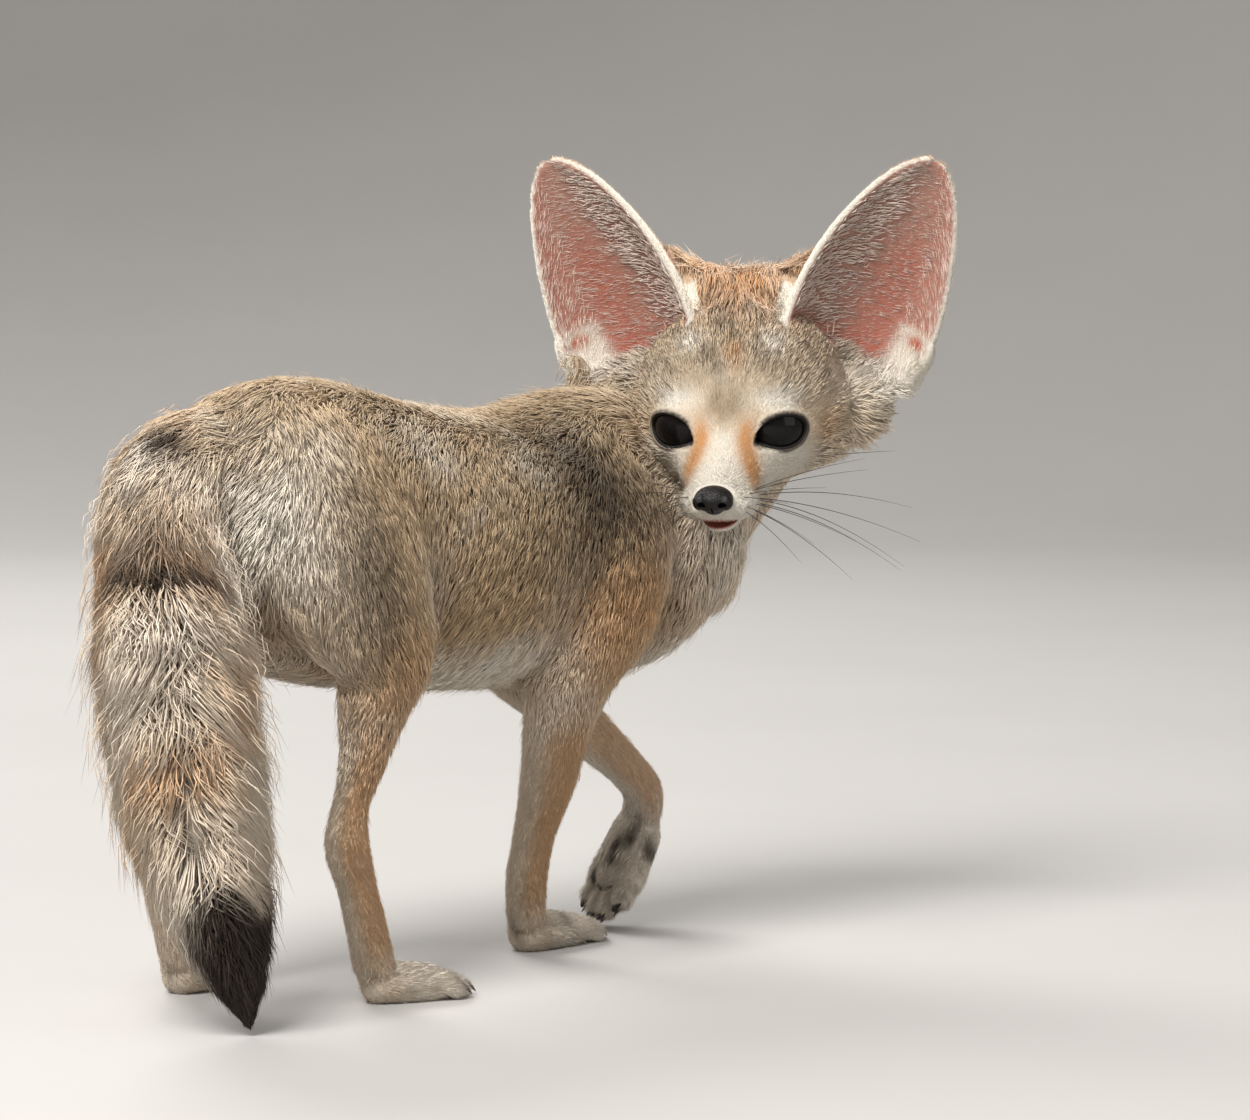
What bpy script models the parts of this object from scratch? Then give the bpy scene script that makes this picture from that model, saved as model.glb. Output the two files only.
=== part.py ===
"""Fennec fox, a life-size still model.

It stands on three feet with its left fore paw raised, its tail hanging, and its head turned back over
its right shoulder. The trunk points along +X, its left side is +Y, and the soles are at Z = 0.
Sizes below are in millimetres. The head's own pieces are modelled in a level frame that faces +X, and an
empty turns them.
"""

import math
import random

import bmesh
import bpy
import numpy as np
from mathutils import Euler, Matrix, Vector
from mathutils.bvhtree import BVHTree

MM = 0.001
GAP = 0.3
CORE_VOXEL = 2.2
HEAD_VOXEL = 1.15
NOSE_VOXEL = 0.7

CROUP = 205.0
HALF_TRUNK = 40.5
SOLE_LEVEL = 1.8

HEAD_AT = (102.8, -47.1, 186.0)
HEAD_TURN = -151.0
HEAD_NOD = 17.0
EYE_RADIUS = 11.0
EYE_AT = (15.0, 15.1, 1.8)
EYE_SPLAY = 27.0
LID = 1.7
EYE_OPENING = (10.0, 7.2)
EYE_SLANT = 11.0
NOSE_AT = (53.5, 0.0, -10.8)

EAR_ROOT = (-10.9, 33.0, 14.0)
EAR_TIP = (-27.4, 67.6, 81.6)
EAR_FACING = (0.95, 0.22, 0.12)
EAR_WALL = 2.4
# Along an ear from below its root to its tip: share of its height, half width towards the outer
# edge, half width towards the inner edge, and how deep the cup is.
EAR_SHAPE = (
    (-0.16, 11.0, 12.0, 12.0),
    (0.0, 20.5, 19.5, 18.0),
    (0.1, 25.2, 22.4, 19.5),
    (0.2, 27.0, 23.4, 19.0),
    (0.32, 26.4, 23.8, 17.5),
    (0.45, 24.4, 23.0, 15.0),
    (0.58, 21.6, 21.2, 12.2),
    (0.7, 18.2, 18.4, 9.2),
    (0.8, 14.8, 15.4, 6.6),
    (0.88, 11.4, 12.0, 4.6),
    (0.94, 8.0, 8.4, 3.2),
    (0.98, 4.6, 4.8, 2.2),
    (1.0, 1.6, 1.8, 1.6),
)

TAIL_CORE = 0.5
TAIL_LOCK_ROWS = 8
TAIL_LOCKS_ROUND = 8
TAIL_LOCK_REACH = 0.235
SLEEVE_MARGIN = 1.6
SLEEVE_SIDES = 12
FLESH_TRIANGLES = 2800
HEAD_TRIANGLES = 1700
NOSE_TRIANGLES = 260
# Length, width and rise of a lock on the head and on the chest.
HEAD_LOCK = (12.0, 8.0, 2.6)
CHEST_LOCK = (20.0, 11.0, 3.6)
# The cut between torso and neck: a point on it, the way it faces, and its size.
NECK_CUT = ((92, -4, 149), (98, 0, 28), 140)

# Centre x, y, z, half width across the body, half depth. Rump to chest.
TRUNK = (
    (-119, 0, 170, 20, 20),
    (-108, 0, 165, 33, 35),
    (-88, 0, 159, HALF_TRUNK, CROUP - 159),
    (-62, 0, 153, HALF_TRUNK, 50),
    (-36, 0, 148, HALF_TRUNK - 3, 49),
    (-5, 0, 144, HALF_TRUNK - 1, 48),
    (26, 0, 142, HALF_TRUNK, 48),
    (52, 0, 143, HALF_TRUNK - 1, 51),
    (76, -1, 144, 34, 52),
    (93, -7, 141, 31, 46),
    (105, -17, 141, 28, 38),
    (113, -24, 141, 21, 28),
)
NECK = (
    (70, 0, 158, 31, 38),
    (90, -8, 158, 29, 36),
    (106, -19, 160, 27, 31),
    (116, -30, 170, 25, 28),
    (122, -38, 181, 24, 25),
)
# Middle and outer radius of the tail's coat, from inside the rump to the tip.
TAIL = (
    (-92, 0, 177, 14, 14),
    (-112, -1, 180, 17, 17),
    (-127, -4, 168, 22, 22),
    (-134, -11, 143, 25, 25),
    (-138, -19, 106, 27.5, 27.5),
    (-138, -26, 72, 25.5, 25.5),
    (-134, -33, 38, 18, 18),
    (-130, -37, 17, 9, 9),
    (-128, -38.5, 6, 2.5, 2.5),
)
# Each leg from its root to its wrist or heel. Side is +1 on the left.
FORE_STANDING = (
    (64, -19, 168, 13, 19),
    (62, -26, 146, 17, 24),
    (53, -28, 122, 16, 23),
    (42, -25, 101, 13, 17),
    (40, -20, 84, 11.5, 13.5),
    (43, -13, 64, 10, 11),
    (44, -5, 42, 7.6, 8),
    (45, -1, 28, 7.8, 7.8),
    (47, 1, 13, 7.6, 7.2),
)
FORE_RAISED = (
    (64, 19, 168, 13, 19),
    (66, 26, 146, 17, 24),
    (64, 27, 122, 16, 22),
    (67, 24, 102, 13, 16),
    (80, 20, 88, 11, 12),
    (98, 15, 71, 9, 9.5),
    (113, 10, 57, 7.6, 7.8),
    (120, 9, 49, 7.8, 7.6),
    (119, 10, 39, 8, 7.4),
)
HIND_FORWARD = (
    (-80, -19, 176, 17, 26),
    (-78, -27, 154, 19, 33),
    (-69, -32, 132, 17, 29),
    (-62, -34, 113, 14, 21),
    (-66, -33, 97, 11, 14),
    (-71, -33, 80, 8.2, 9.8),
    (-75, -32, 66, 7, 8.2),
    (-76, -32, 57, 7.4, 8.6),
    (-71, -31, 42, 7.1, 7.4),
    (-65, -29.5, 26, 7.2, 7.4),
    (-60, -28, 13, 7.8, 7.4),
)
HIND_BACK = (
    (-80, 19, 176, 17, 26),
    (-81, 27, 154, 19, 33),
    (-77, 32, 132, 17, 29),
    (-74, 34, 113, 14, 21),
    (-81, 34, 97, 11, 14),
    (-90, 34, 80, 8.2, 9.8),
    (-98, 33, 66, 7, 8.2),
    (-100, 33, 57, 7.4, 8.6),
    (-96, 33, 42, 7.1, 7.4),
    (-91, 33, 26, 7.2, 7.4),
    (-87, 33, 13, 7.8, 7.4),
)
# Heel point, toe point, which way the back of the paw faces, and how far its toes are spread.
PAWS = {
    "fore_standing": ((48, 2, 8), (84, 4, 5.5), (0, 0, 1), 1.0),
    "fore_raised": ((119, 11, 35), (103, 15, 7.6), (0.85, -0.2, 0.45), 1.14),
    "hind_forward": ((-59, -28, 8), (-31, -38, 5.5), (0, 0, 1), 1.0),
    "hind_back": ((-87, 33, 8), (-55, 37, 5.5), (0, 0, 1), 1.0),
}
# A place on the skin of each piece of the fused flesh, well away from the cuts.
SEEDS = {
    "torso": (0, 0, 192),
    "neck": (120, -17, 196),
    "leg_fore_right": (43, -13, 60),
    "leg_fore_left": (113, 10, 57),
    "leg_hind_right": (-71, -33, 80),
    "leg_hind_left": (-90, 34, 80),
}
# Skull and muzzle in the head's level frame: occiput to muzzle tip.
SKULL = (
    (-37, 0, 5, 18, 18),
    (-27, 0, 6, 29, 27),
    (-14, 0, 5.5, 35.5, 30.5),
    (-3, 0, 2.5, 36.5, 28.5),
    (8, 0, -1.5, 33, 25),
    (17, 0, -5, 27, 20),
    (25, 0, -9, 19.5, 15),
    (33, 0, -12, 15, 11.8),
    (41, 0, -14, 12.8, 9.6),
    (48.5, 0, -14.8, 11, 8),
)
# Cheeks and ruff, back to front in the same frame.
CHEEKS = (
    (-30, 0, -1, 24, 15),
    (-20, 0, -3, 37, 19),
    (-8, 0, -5.5, 39.5, 19.5),
    (4, 0, -9, 35.5, 17.5),
    (14, 0, -11, 27.5, 13.5),
    (24, 0, -13, 18.5, 10.5),
)
# Lumps fused into the head: middle, radii, and turn in degrees. One off the middle is on both sides.
EAR_FOOT = ((-19, 36, 4), (10, 17, 14), (30, 0, 0))
EAR_BACK = ((-31, 24, 36), (6.5, 8, 14), (-27, 0, 0))
BROW = ((14, 13, 9.5), (9, 9, 5), (0, 20, 22))
WHISKER_PAD = ((43.5, 6, -15.4), (9, 8, 6.2), (0, 0, -10))
CHIN = ((37, 0, -22.2), (12.2, 7.4, 4.4), (0, 3, 0))
CROWN = ((-15, 0, 26), (20, 20, 14), (0, 12, 0))
# The opening of the mouth under the nose, the nose's two lumps, and a nostril beside its middle.
MOUTH_GAP = ((45.5, 0, -20.4), (9.5, 8, 1.9), (0, 2, 0))
NOSE_PAD = ((0, 0, 0), (5.2, 6.6, 4.4), (0, 8, 0))
NOSE_FOOT = ((-0.6, 0, -2.2), (4.4, 4.0, 3.4), (0, 0, 0))
NOSTRIL = ((3.6, 3.5, -0.6), (3.4, 1.5, 0.95), (0, 0, 38))

# The line of the lips from corner to corner under the nose: place and the groove's half widths.
MOUTH_LINE = (
    (27, 15.2, -19.0, 0.9, 0.7),
    (35, 12.6, -20.0, 0.9, 0.8),
    (43, 9.8, -20.4, 0.9, 1.0),
    (50, 4, -20.6, 1.2, 1.3),
    (50, -4, -20.6, 1.2, 1.3),
    (43, -9.8, -20.4, 0.9, 1.0),
    (35, -12.6, -20.0, 0.9, 0.8),
    (27, -15.2, -19.0, 0.9, 0.7),
)
# A paw's palm from heel to toes: share of its length, half width, half depth.
PALM = ((0.0, 7.8, 7.4), (0.35, 9.2, 7.0), (0.62, 9.4, 5.8))
# A toe from root to tip: half width and half depth; and how far apart roots and tips lie.
TOE = ((3.2, 3.6), (3.1, 3.6), (2.9, 3.2))
TOE_PITCH = (3.6, 4.6)
# Colour, roughness and metallic share of each part's finish.
FINISHES = {
    "head": ((0.61, 0.50, 0.37), 0.86, 0.0),
    "neck": ((0.57, 0.48, 0.36), 0.9, 0.0),
    "torso": ((0.38, 0.29, 0.2), 0.88, 0.0),
    "tail": ((0.5, 0.38, 0.25), 0.9, 0.0),
    "leg_fore": ((0.6, 0.39, 0.22), 0.84, 0.0),
    "leg_hind": ((0.58, 0.43, 0.28), 0.84, 0.0),
    "ear": ((0.66, 0.42, 0.32), 0.7, 0.0),
    "eye": ((0.006, 0.005, 0.004), 0.05, 0.0),
    "nose": ((0.014, 0.012, 0.011), 0.32, 0.0),
}
CREASE = 42.0


def curve_through(rows, count):
    """Resamples rows of numbers, whose first three are a place, on one smooth curve."""
    rows = np.array(rows, float)
    reach = np.concatenate([[0], np.cumsum(np.linalg.norm(np.diff(rows[:, :3], axis=0), axis=1))])
    slopes = np.gradient(rows, reach, axis=0)
    out = []
    for s in np.linspace(0, reach[-1], count):
        i = min(int(np.searchsorted(reach, s, side="right")) - 1, len(reach) - 2)
        span = reach[i + 1] - reach[i]
        u = (s - reach[i]) / span
        out.append(
            rows[i] * (2 * u**3 - 3 * u**2 + 1)
            + slopes[i] * span * (u**3 - 2 * u**2 + u)
            + rows[i + 1] * (3 * u**2 - 2 * u**3)
            + slopes[i + 1] * span * (u**3 - u**2)
        )
    return np.array(out)


def frames_along(rows, across):
    """Yields each row's centre, its sideways axis, its depth axis and the path's direction."""
    centres = rows[:, :3]
    tangents = np.gradient(centres, axis=0)
    for centre, tangent in zip(centres, tangents):
        along = Vector(tangent).normalized()
        side = (Vector(across) - along * along.dot(Vector(across))).normalized()
        yield Vector(centre), side, along.cross(side), along


def add_ring(bm, centre, side, depth, wide, deep, sides):
    """Adds one elliptical ring of points and returns them in order."""
    ring = []
    for k in range(sides):
        a = math.tau * k / sides
        ring.append(bm.verts.new((centre + side * wide * math.cos(a) + depth * deep * math.sin(a)) * MM))
    return ring


def skin_rings(bm, rings):
    """Joins neighbouring rings with quads and closes both ends."""
    for first, second in zip(rings, rings[1:]):
        for k in range(len(first)):
            m = (k + 1) % len(first)
            bm.faces.new((first[k], first[m], second[m], second[k]))
    bm.faces.new(tuple(reversed(rings[0])))
    bm.faces.new(tuple(rings[-1]))


def loft(bm, rows, across, sides, count, dome=0.7):
    """Adds a closed tube with domed ends through rows of centre, half width and half depth."""
    rows = curve_through(rows, count)
    frames = list(frames_along(rows, across))
    rings = []
    for end, sign in ((0, -1), (len(rows) - 1, 1)):
        centre, side, depth, along = frames[end]
        wide, deep = rows[end, 3:5]
        cap = []
        for turn in (75, 50, 25):
            lift = along * sign * dome * min(wide, deep) * math.sin(math.radians(turn))
            shrink = math.cos(math.radians(turn))
            cap.append((centre + lift, side, depth, wide * shrink, deep * shrink))
        body = cap if sign < 0 else reversed(cap)
        if sign < 0:
            rings += body
            rings += [(c, s, d, w, h) for (c, s, d, _), (w, h) in zip(frames, rows[:, 3:5])]
        else:
            rings += body
    skin_rings(bm, [add_ring(bm, *ring, sides) for ring in rings])


def ball(bm, centre, radii, turn=(0, 0, 0), detail=3):
    """Adds a closed ellipsoid."""
    place = (
        Matrix.Translation(Vector(centre) * MM)
        @ Euler([math.radians(t) for t in turn]).to_matrix().to_4x4()
        @ Matrix.Diagonal((*(Vector(radii) * MM), 1))
    )
    bmesh.ops.create_icosphere(bm, subdivisions=detail, radius=1, matrix=place)


def lump(bm, shape, side=1, at=(0, 0, 0), detail=3):
    """Adds one of the named ellipsoids, mirrored where side is -1, from a place."""
    (x, y, z), radii, (roll, nod, turn) = shape
    centre = Vector((x, y * side, z)) + Vector(at)
    ball(bm, centre, radii, (roll * side, nod, turn * side), detail)


def new_object(name, bm, parent=None):
    """Makes an object of a bmesh, with its faces pointing out."""
    bmesh.ops.recalc_face_normals(bm, faces=bm.faces)
    mesh = bpy.data.meshes.new(name)
    bm.to_mesh(mesh)
    bm.free()
    obj = bpy.data.objects.new(name, mesh)
    bpy.context.collection.objects.link(obj)
    obj.parent = parent
    return obj


def add_modifier(obj, kind, **settings):
    """Adds a modifier with these settings."""
    modifier = obj.modifiers.new(kind.title(), kind)
    for key, value in settings.items():
        setattr(modifier, key, value)
    return modifier


def apply_modifiers(obj):
    """Replaces the object's mesh with what its modifiers make of it."""
    bpy.context.view_layer.update()
    graph = bpy.context.evaluated_depsgraph_get()
    mesh = bpy.data.meshes.new_from_object(obj.evaluated_get(graph))
    obj.modifiers.clear()
    obj.data = mesh


def triangle_count(mesh):
    """The number of triangles that a mesh's faces make."""
    return sum(len(face.vertices) - 2 for face in mesh.polygons)


def fuse_flesh(obj, voxel, smoothing, triangles):
    """Melts overlapping forms into one smooth closed surface of about this many triangles."""
    add_modifier(obj, "REMESH", mode="VOXEL", voxel_size=voxel * MM)
    add_modifier(obj, "SMOOTH", factor=0.5, iterations=smoothing)
    apply_modifiers(obj)
    ratio = triangles / triangle_count(obj.data)
    add_modifier(obj, "DECIMATE", ratio=ratio)
    apply_modifiers(obj)


def keep_largest(obj):
    """Drops every loose scrap but the largest closed surface."""
    bm = bmesh.new()
    bm.from_mesh(obj.data)
    left = set(bm.verts)
    islands = []
    while left:
        stack, island = [left.pop()], []
        while stack:
            vert = stack.pop()
            island.append(vert)
            near = {edge.other_vert(vert) for edge in vert.link_edges} & left
            left -= near
            stack.extend(near)
        islands.append(island)
    islands.sort(key=len)
    for island in islands[:-1]:
        bmesh.ops.delete(bm, geom=island, context="VERTS")
    bmesh.ops.triangulate(bm, faces=bm.faces)
    bm.to_mesh(obj.data)
    bm.free()


def loose_parts(obj):
    """Splits an object's mesh into its closed surfaces, as new bmeshes, largest first."""
    source = bmesh.new()
    source.from_mesh(obj.data)
    source.verts.ensure_lookup_table()
    label = [-1] * len(source.verts)
    counts = []
    for start in source.verts:
        if label[start.index] >= 0:
            continue
        label[start.index] = len(counts)
        stack, size = [start], 0
        while stack:
            vert = stack.pop()
            size += 1
            for edge in vert.link_edges:
                other = edge.other_vert(vert)
                if label[other.index] < 0:
                    label[other.index] = len(counts)
                    stack.append(other)
        counts.append(size)
    parts = []
    for index in sorted(range(len(counts)), key=lambda i: -counts[i]):
        part = source.copy()
        part.verts.ensure_lookup_table()
        gone = [v for v in part.verts if label[v.index] != index]
        bmesh.ops.delete(part, geom=gone, context="VERTS")
        parts.append(part)
    source.free()
    return parts


def boolean(obj, operation, others, solver="EXACT"):
    """Unites an object with helpers, or cuts them out of it, and removes the helpers."""
    group = bpy.data.collections.new(obj.name + "_tools")
    bpy.context.scene.collection.children.link(group)
    for other in others:
        for home in list(other.users_collection):
            home.objects.unlink(other)
        group.objects.link(other)
    modifier = add_modifier(obj, "BOOLEAN", operation=operation, solver=solver, operand_type="COLLECTION")
    modifier.collection = group
    apply_modifiers(obj)
    for other in others:
        bpy.data.objects.remove(other)
    bpy.data.collections.remove(group)


def swollen_copy(obj, by):
    """A helper of the same shape, larger by this much all round."""
    copy = bpy.data.objects.new(obj.name + "_swollen", obj.data.copy())
    bpy.context.collection.objects.link(copy)
    copy.parent = obj.parent
    add_modifier(copy, "DISPLACE", strength=by * MM, mid_level=0)
    apply_modifiers(copy)
    return copy


def fit_to(obj, neighbour):
    """Cuts the neighbour's form out of an object, with the gap that touching pieces keep."""
    boolean(obj, "DIFFERENCE", [swollen_copy(neighbour, GAP)])
    keep_largest(obj)


def paw(bm, heel, toe, back, spread):
    """Adds a paw: a pad and four toes that fan a little, the middle two ahead."""
    heel, toe, back = Vector(heel), Vector(toe), Vector(back).normalized()
    ahead = (toe - heel).normalized()
    side = back.cross(ahead).normalized()
    length = (toe - heel).length
    palm = []
    for share, wide, deep in PALM:
        broad = wide * (spread if share > 0.5 else 1)
        palm.append((*(heel + ahead * length * share), broad, deep))
    loft(bm, palm, side, 14, 8)
    for place in (-1.5, -0.5, 0.5, 1.5):
        reach = 1.0 if abs(place) < 1 else 0.86
        root = heel + ahead * length * 0.45 + side * place * spread * TOE_PITCH[0]
        tip = heel + ahead * length * reach + side * place * spread * TOE_PITCH[1] - back * 1.2
        middle = (root + tip) / 2 + back * 1.6
        loft(bm, [(*spot, *size) for spot, size in zip((root, middle, tip), TOE)], side, 10, 6)


def make_flesh():
    """Builds trunk, neck and legs as one closed form with flat soles."""
    bm = bmesh.new()
    loft(bm, TRUNK, (0, 1, 0), 28, 40)
    loft(bm, NECK, (0, 1, 0), 24, 16)
    for leg in (FORE_STANDING, FORE_RAISED, HIND_FORWARD, HIND_BACK):
        loft(bm, leg, (0, 1, 0), 18, 40)
    for points in PAWS.values():
        paw(bm, *points)
    flesh = new_object("torso", bm)
    fuse_flesh(flesh, CORE_VOXEL, 5, FLESH_TRIANGLES)
    flatten_soles(flesh)
    return flesh


def flatten_soles(obj):
    """Cuts everything below the floor off, leaving flat soles."""
    bm = bmesh.new()
    bm.from_mesh(obj.data)
    geometry = bm.verts[:] + bm.edges[:] + bm.faces[:]
    cut = bmesh.ops.bisect_plane(
        bm, geom=geometry, plane_co=(0, 0, SOLE_LEVEL * MM), plane_no=(0, 0, -1), clear_outer=True
    )
    rims = [item for item in cut["geom_cut"] if isinstance(item, bmesh.types.BMEdge)]
    bmesh.ops.holes_fill(bm, edges=rims, sides=0)
    bm.to_mesh(obj.data)
    bm.free()


def thin_plate(name, centre, facing, size):
    """A helper plate as thin as the gap between touching pieces."""
    bm = bmesh.new()
    bmesh.ops.create_cube(bm, size=1)
    turn = Vector(facing).to_track_quat("Z", "Y").to_matrix().to_4x4()
    sides = Matrix.Diagonal((size * MM, size * MM, GAP * MM, 1))
    bmesh.ops.transform(bm, matrix=Matrix.Translation(Vector(centre) * MM) @ turn @ sides, verts=bm.verts)
    return new_object(name, bm)


def thin_sleeve(name, leg, first, last):
    """A helper sleeve round a leg's upper stretch, closed above, open below and as thin as the gap."""
    rows = curve_through(leg[first:last], 6)
    frames = list(frames_along(rows, (0, 1, 0)))
    bm = bmesh.new()
    rings = []
    centre, side, depth, along = frames[0]
    wide, deep = rows[0, 3:5] + SLEEVE_MARGIN
    for turn in (72, 38):
        lift = along * -0.75 * wide * math.sin(math.radians(turn))
        shrink = math.cos(math.radians(turn))
        rings.append(add_ring(bm, centre + lift, side, depth, wide * shrink, deep * shrink, SLEEVE_SIDES))
    for (centre, side, depth, _), row in zip(frames, rows):
        wide, deep = row[3:5] + SLEEVE_MARGIN
        rings.append(add_ring(bm, centre, side, depth, wide, deep, SLEEVE_SIDES))
    skin_rings(bm, rings)
    bm.faces.ensure_lookup_table()
    bmesh.ops.delete(bm, geom=[bm.faces[-1]], context="FACES_ONLY")
    bmesh.ops.triangulate(bm, faces=bm.faces)
    sleeve = new_object(name, bm)
    add_modifier(sleeve, "SOLIDIFY", thickness=GAP * MM, offset=0, use_even_offset=True)
    apply_modifiers(sleeve)
    return sleeve


def part_flesh(flesh):
    """Parts the flesh by thin cuts into torso, neck and legs."""
    cuts = [thin_plate("neck_cut", *NECK_CUT)]
    for name, leg, last in (
        ("fore_right_cut", FORE_STANDING, 5),
        ("fore_left_cut", FORE_RAISED, 6),
        ("hind_right_cut", HIND_FORWARD, 5),
        ("hind_left_cut", HIND_BACK, 5),
    ):
        cuts.append(thin_sleeve(name, leg, 1, last))
    boolean(flesh, "DIFFERENCE", cuts)
    parts = loose_parts(flesh)
    bpy.data.objects.remove(flesh)
    made = {}
    for name, seed in SEEDS.items():
        seed = Vector(seed) * MM
        nearest = min(parts, key=lambda part: min((v.co - seed).length for v in part.verts))
        made[name] = new_object(name, nearest.copy())
    for part in parts:
        part.free()
    return made


def lock(bm, points, outward, width, thick):
    """Adds a flat, tapered lock of hair along three points, its flat sides facing out and in."""
    root, middle, tip = (Vector(p) for p in points)
    rings = []
    for place, along, out, broad, deep in (
        (root, middle - root, outward[0], 0.8, 1.0),
        (middle, tip - root, outward[1], 1.0, 0.8),
    ):
        along = along.normalized()
        side = along.cross(out).normalized()
        rings.append(add_ring(bm, place, side, side.cross(along), width * broad / 2, thick * deep / 2, 4))
    end = bm.verts.new(tip * MM)
    for k in range(4):
        m = (k + 1) % 4
        bm.faces.new((rings[0][k], rings[0][m], rings[1][m], rings[1][k]))
        bm.faces.new((rings[1][k], rings[1][m], end))
    bm.faces.new(tuple(reversed(rings[0])))


def surface_of(obj):
    """A search tree of an object's surface, in its own frame."""
    bm = bmesh.new()
    bm.from_mesh(obj.data)
    tree = BVHTree.FromBMesh(bm)
    bm.free()
    return tree


def add_locks(obj, roots, length, width, rise, clear_of=()):
    """Joins locks to an object's surface. A root is a place and the way the coat lies there.

    A lock whose tip would come near one of the objects in clear_of is left out.
    """
    tree = surface_of(obj)
    others = [(surface_of(other), (other.matrix_world.inverted() @ obj.matrix_world)) for other in clear_of]
    locks = []
    for place, lie in roots:
        hit, normal = tree.find_nearest(Vector(place) * MM)[:2]
        lie = Vector(lie).normalized()
        along = (lie - normal * lie.dot(normal)).normalized()
        far, turned = tree.find_nearest(hit + along * length * MM)[:2]
        root = hit / MM - normal * 1.4 - along * 2
        middle = (hit + far) / 2 / MM + (normal + turned).normalized() * rise * 0.8
        tip = far / MM + turned * rise
        if any(near_surface(tree, frame @ (spot * MM)) for tree, frame in others for spot in (middle, tip)):
            continue
        bm = bmesh.new()
        lock(bm, (root, middle, tip), (normal, (normal + turned).normalized()), width, width * 0.26)
        locks.append(new_object("lock", bm, obj.parent))
    boolean(obj, "UNION", locks)
    keep_largest(obj)


def near_surface(tree, spot):
    """Whether a spot is inside a surface or within the width of a lock of it."""
    hit, normal = tree.find_nearest(spot)[:2]
    return (spot - hit).dot(normal) < 0 or (spot - hit).length < 2.5 * MM


def tail_lock(path, share, angle, stretch):
    """The points and outward directions of one lock of the tail, which bends along its path."""
    points, outward = [], []
    for step, rise in ((0.0, 0.36), (0.5, 0.9), (1.0, 1.04)):
        place = min(share + TAIL_LOCK_REACH * step * stretch, 1.0) * (len(path) - 1)
        low = min(int(place), len(path) - 2)
        first, second, mix = path[low], path[low + 1], place - low
        centre, side, depth = (a.lerp(b, mix) for a, b in zip(first[:3], second[:3]))
        radius = (first[3] + (second[3] - first[3]) * mix) * min(1.0, 0.78 + share)
        out = (side * math.cos(angle) + depth * math.sin(angle)).normalized()
        points.append(centre + out * rise * radius)
        outward.append(out)
    return points, outward


def make_tail(neighbours):
    """Builds the tail: a core and rows of long locks that overlap towards its tip."""
    bm = bmesh.new()
    rows = [(x, y, z, w * TAIL_CORE, d * TAIL_CORE) for x, y, z, w, d in TAIL]
    loft(bm, rows, (0, 1, 0), 10, 11)
    tail = new_object("tail", bm)
    dense = curve_through(TAIL, 60)
    frames = frames_along(dense, (0, 1, 0))
    path = [(centre, side, depth, row[3]) for (centre, side, depth, _), row in zip(frames, dense)]
    rng = random.Random(4)
    locks = []
    for i in range(TAIL_LOCK_ROWS):
        share = 0.06 + 0.8 * i / (TAIL_LOCK_ROWS - 1)
        for k in range(TAIL_LOCKS_ROUND):
            angle = math.tau * (k + 0.5 * (i % 2) + rng.uniform(-0.12, 0.12)) / TAIL_LOCKS_ROUND
            points, outward = tail_lock(path, share, angle, rng.uniform(0.9, 1.15))
            radius = path[min(int(share * 60) + 8, 59)][3]
            bm = bmesh.new()
            lock(bm, points, outward, 0.78 * radius, 0.17 * radius)
            locks.append(new_object("lock", bm))
    boolean(tail, "UNION", locks)
    keep_largest(tail)
    for neighbour in neighbours:
        fit_to(tail, neighbour)
    return tail


def eye_turn(side):
    """The turn that faces an eye outwards from the head's axis."""
    return Euler((0, math.radians(-4), math.radians(EYE_SPLAY * side)))


def eye_centre(side):
    """The middle of an eyeball."""
    return Vector((EYE_AT[0], EYE_AT[1] * side, EYE_AT[2]))


def eye_opening(bm, side):
    """Adds the almond-shaped wedge that opens the lids, wider outwards."""
    turn = eye_turn(side).to_matrix() @ Euler((math.radians(-EYE_SLANT * side), 0, 0)).to_matrix()
    rings = []
    for reach, spread in ((2, 0.8), (EYE_RADIUS, 1.0), (EYE_RADIUS + 9, 1.55)):
        ring = []
        for k in range(16):
            a = math.tau * k / 16
            across = math.cos(a) * EYE_OPENING[0]
            up = math.copysign(abs(math.sin(a)) ** 1.25, math.sin(a)) * EYE_OPENING[1]
            if across * side < 0:
                up = up * 0.92 - 0.5
            place = eye_centre(side) + turn @ Vector((reach, across * spread, up * spread))
            ring.append(bm.verts.new(place * MM))
        rings.append(ring)
    skin_rings(bm, rings)


def make_head(turned):
    """Builds the head: skull, cheeks, brows, muzzle, lids, mouth and sockets."""
    bm = bmesh.new()
    loft(bm, SKULL, (0, 1, 0), 28, 30)
    loft(bm, CHEEKS, (0, 1, 0), 28, 20)
    for side in (-1, 1):
        for shape in (EAR_FOOT, EAR_BACK, BROW, WHISKER_PAD):
            lump(bm, shape, side)
        ball(bm, eye_centre(side), (EYE_RADIUS + LID,) * 3)
    lump(bm, CHIN)
    lump(bm, CROWN)
    head = new_object("head", bm, turned)
    fuse_flesh(head, HEAD_VOXEL, 7, HEAD_TRIANGLES)
    return head


def crown_and_cheek_roots():
    """Where locks stand on the head: the crown between the ears, and the ruff of each cheek."""
    roots = [((-22 + 7 * row, y, 40), (-0.5, y * 0.03, 1)) for row in range(3) for y in (-9, -3, 3, 9)]
    for side in (-1, 1):
        for row in range(3):
            for k in range(4):
                place = (2 - 9 * row, (34 + 2 * row) * side, -1 - 7 * k - 1.5 * row)
                roots.append((place, (-0.9, 0.3 * side, -0.75)))
    return roots


def open_head(head, turned):
    """Cuts the lids' openings, the sockets and the mouth into the head."""
    cutters = {name: bmesh.new() for name in ("openings", "sockets", "lips", "mouth")}
    for side in (-1, 1):
        eye_opening(cutters["openings"], side)
        eyeball(cutters["sockets"], side, EYE_RADIUS + 1.2 * GAP)
    loft(cutters["lips"], MOUTH_LINE, (0, 0, 1), 8, 16, dome=0.5)
    lump(cutters["mouth"], MOUTH_GAP, detail=2)
    for name, cutter in cutters.items():
        boolean(head, "DIFFERENCE", [new_object(name, cutter, turned)])
    keep_largest(head)


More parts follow.
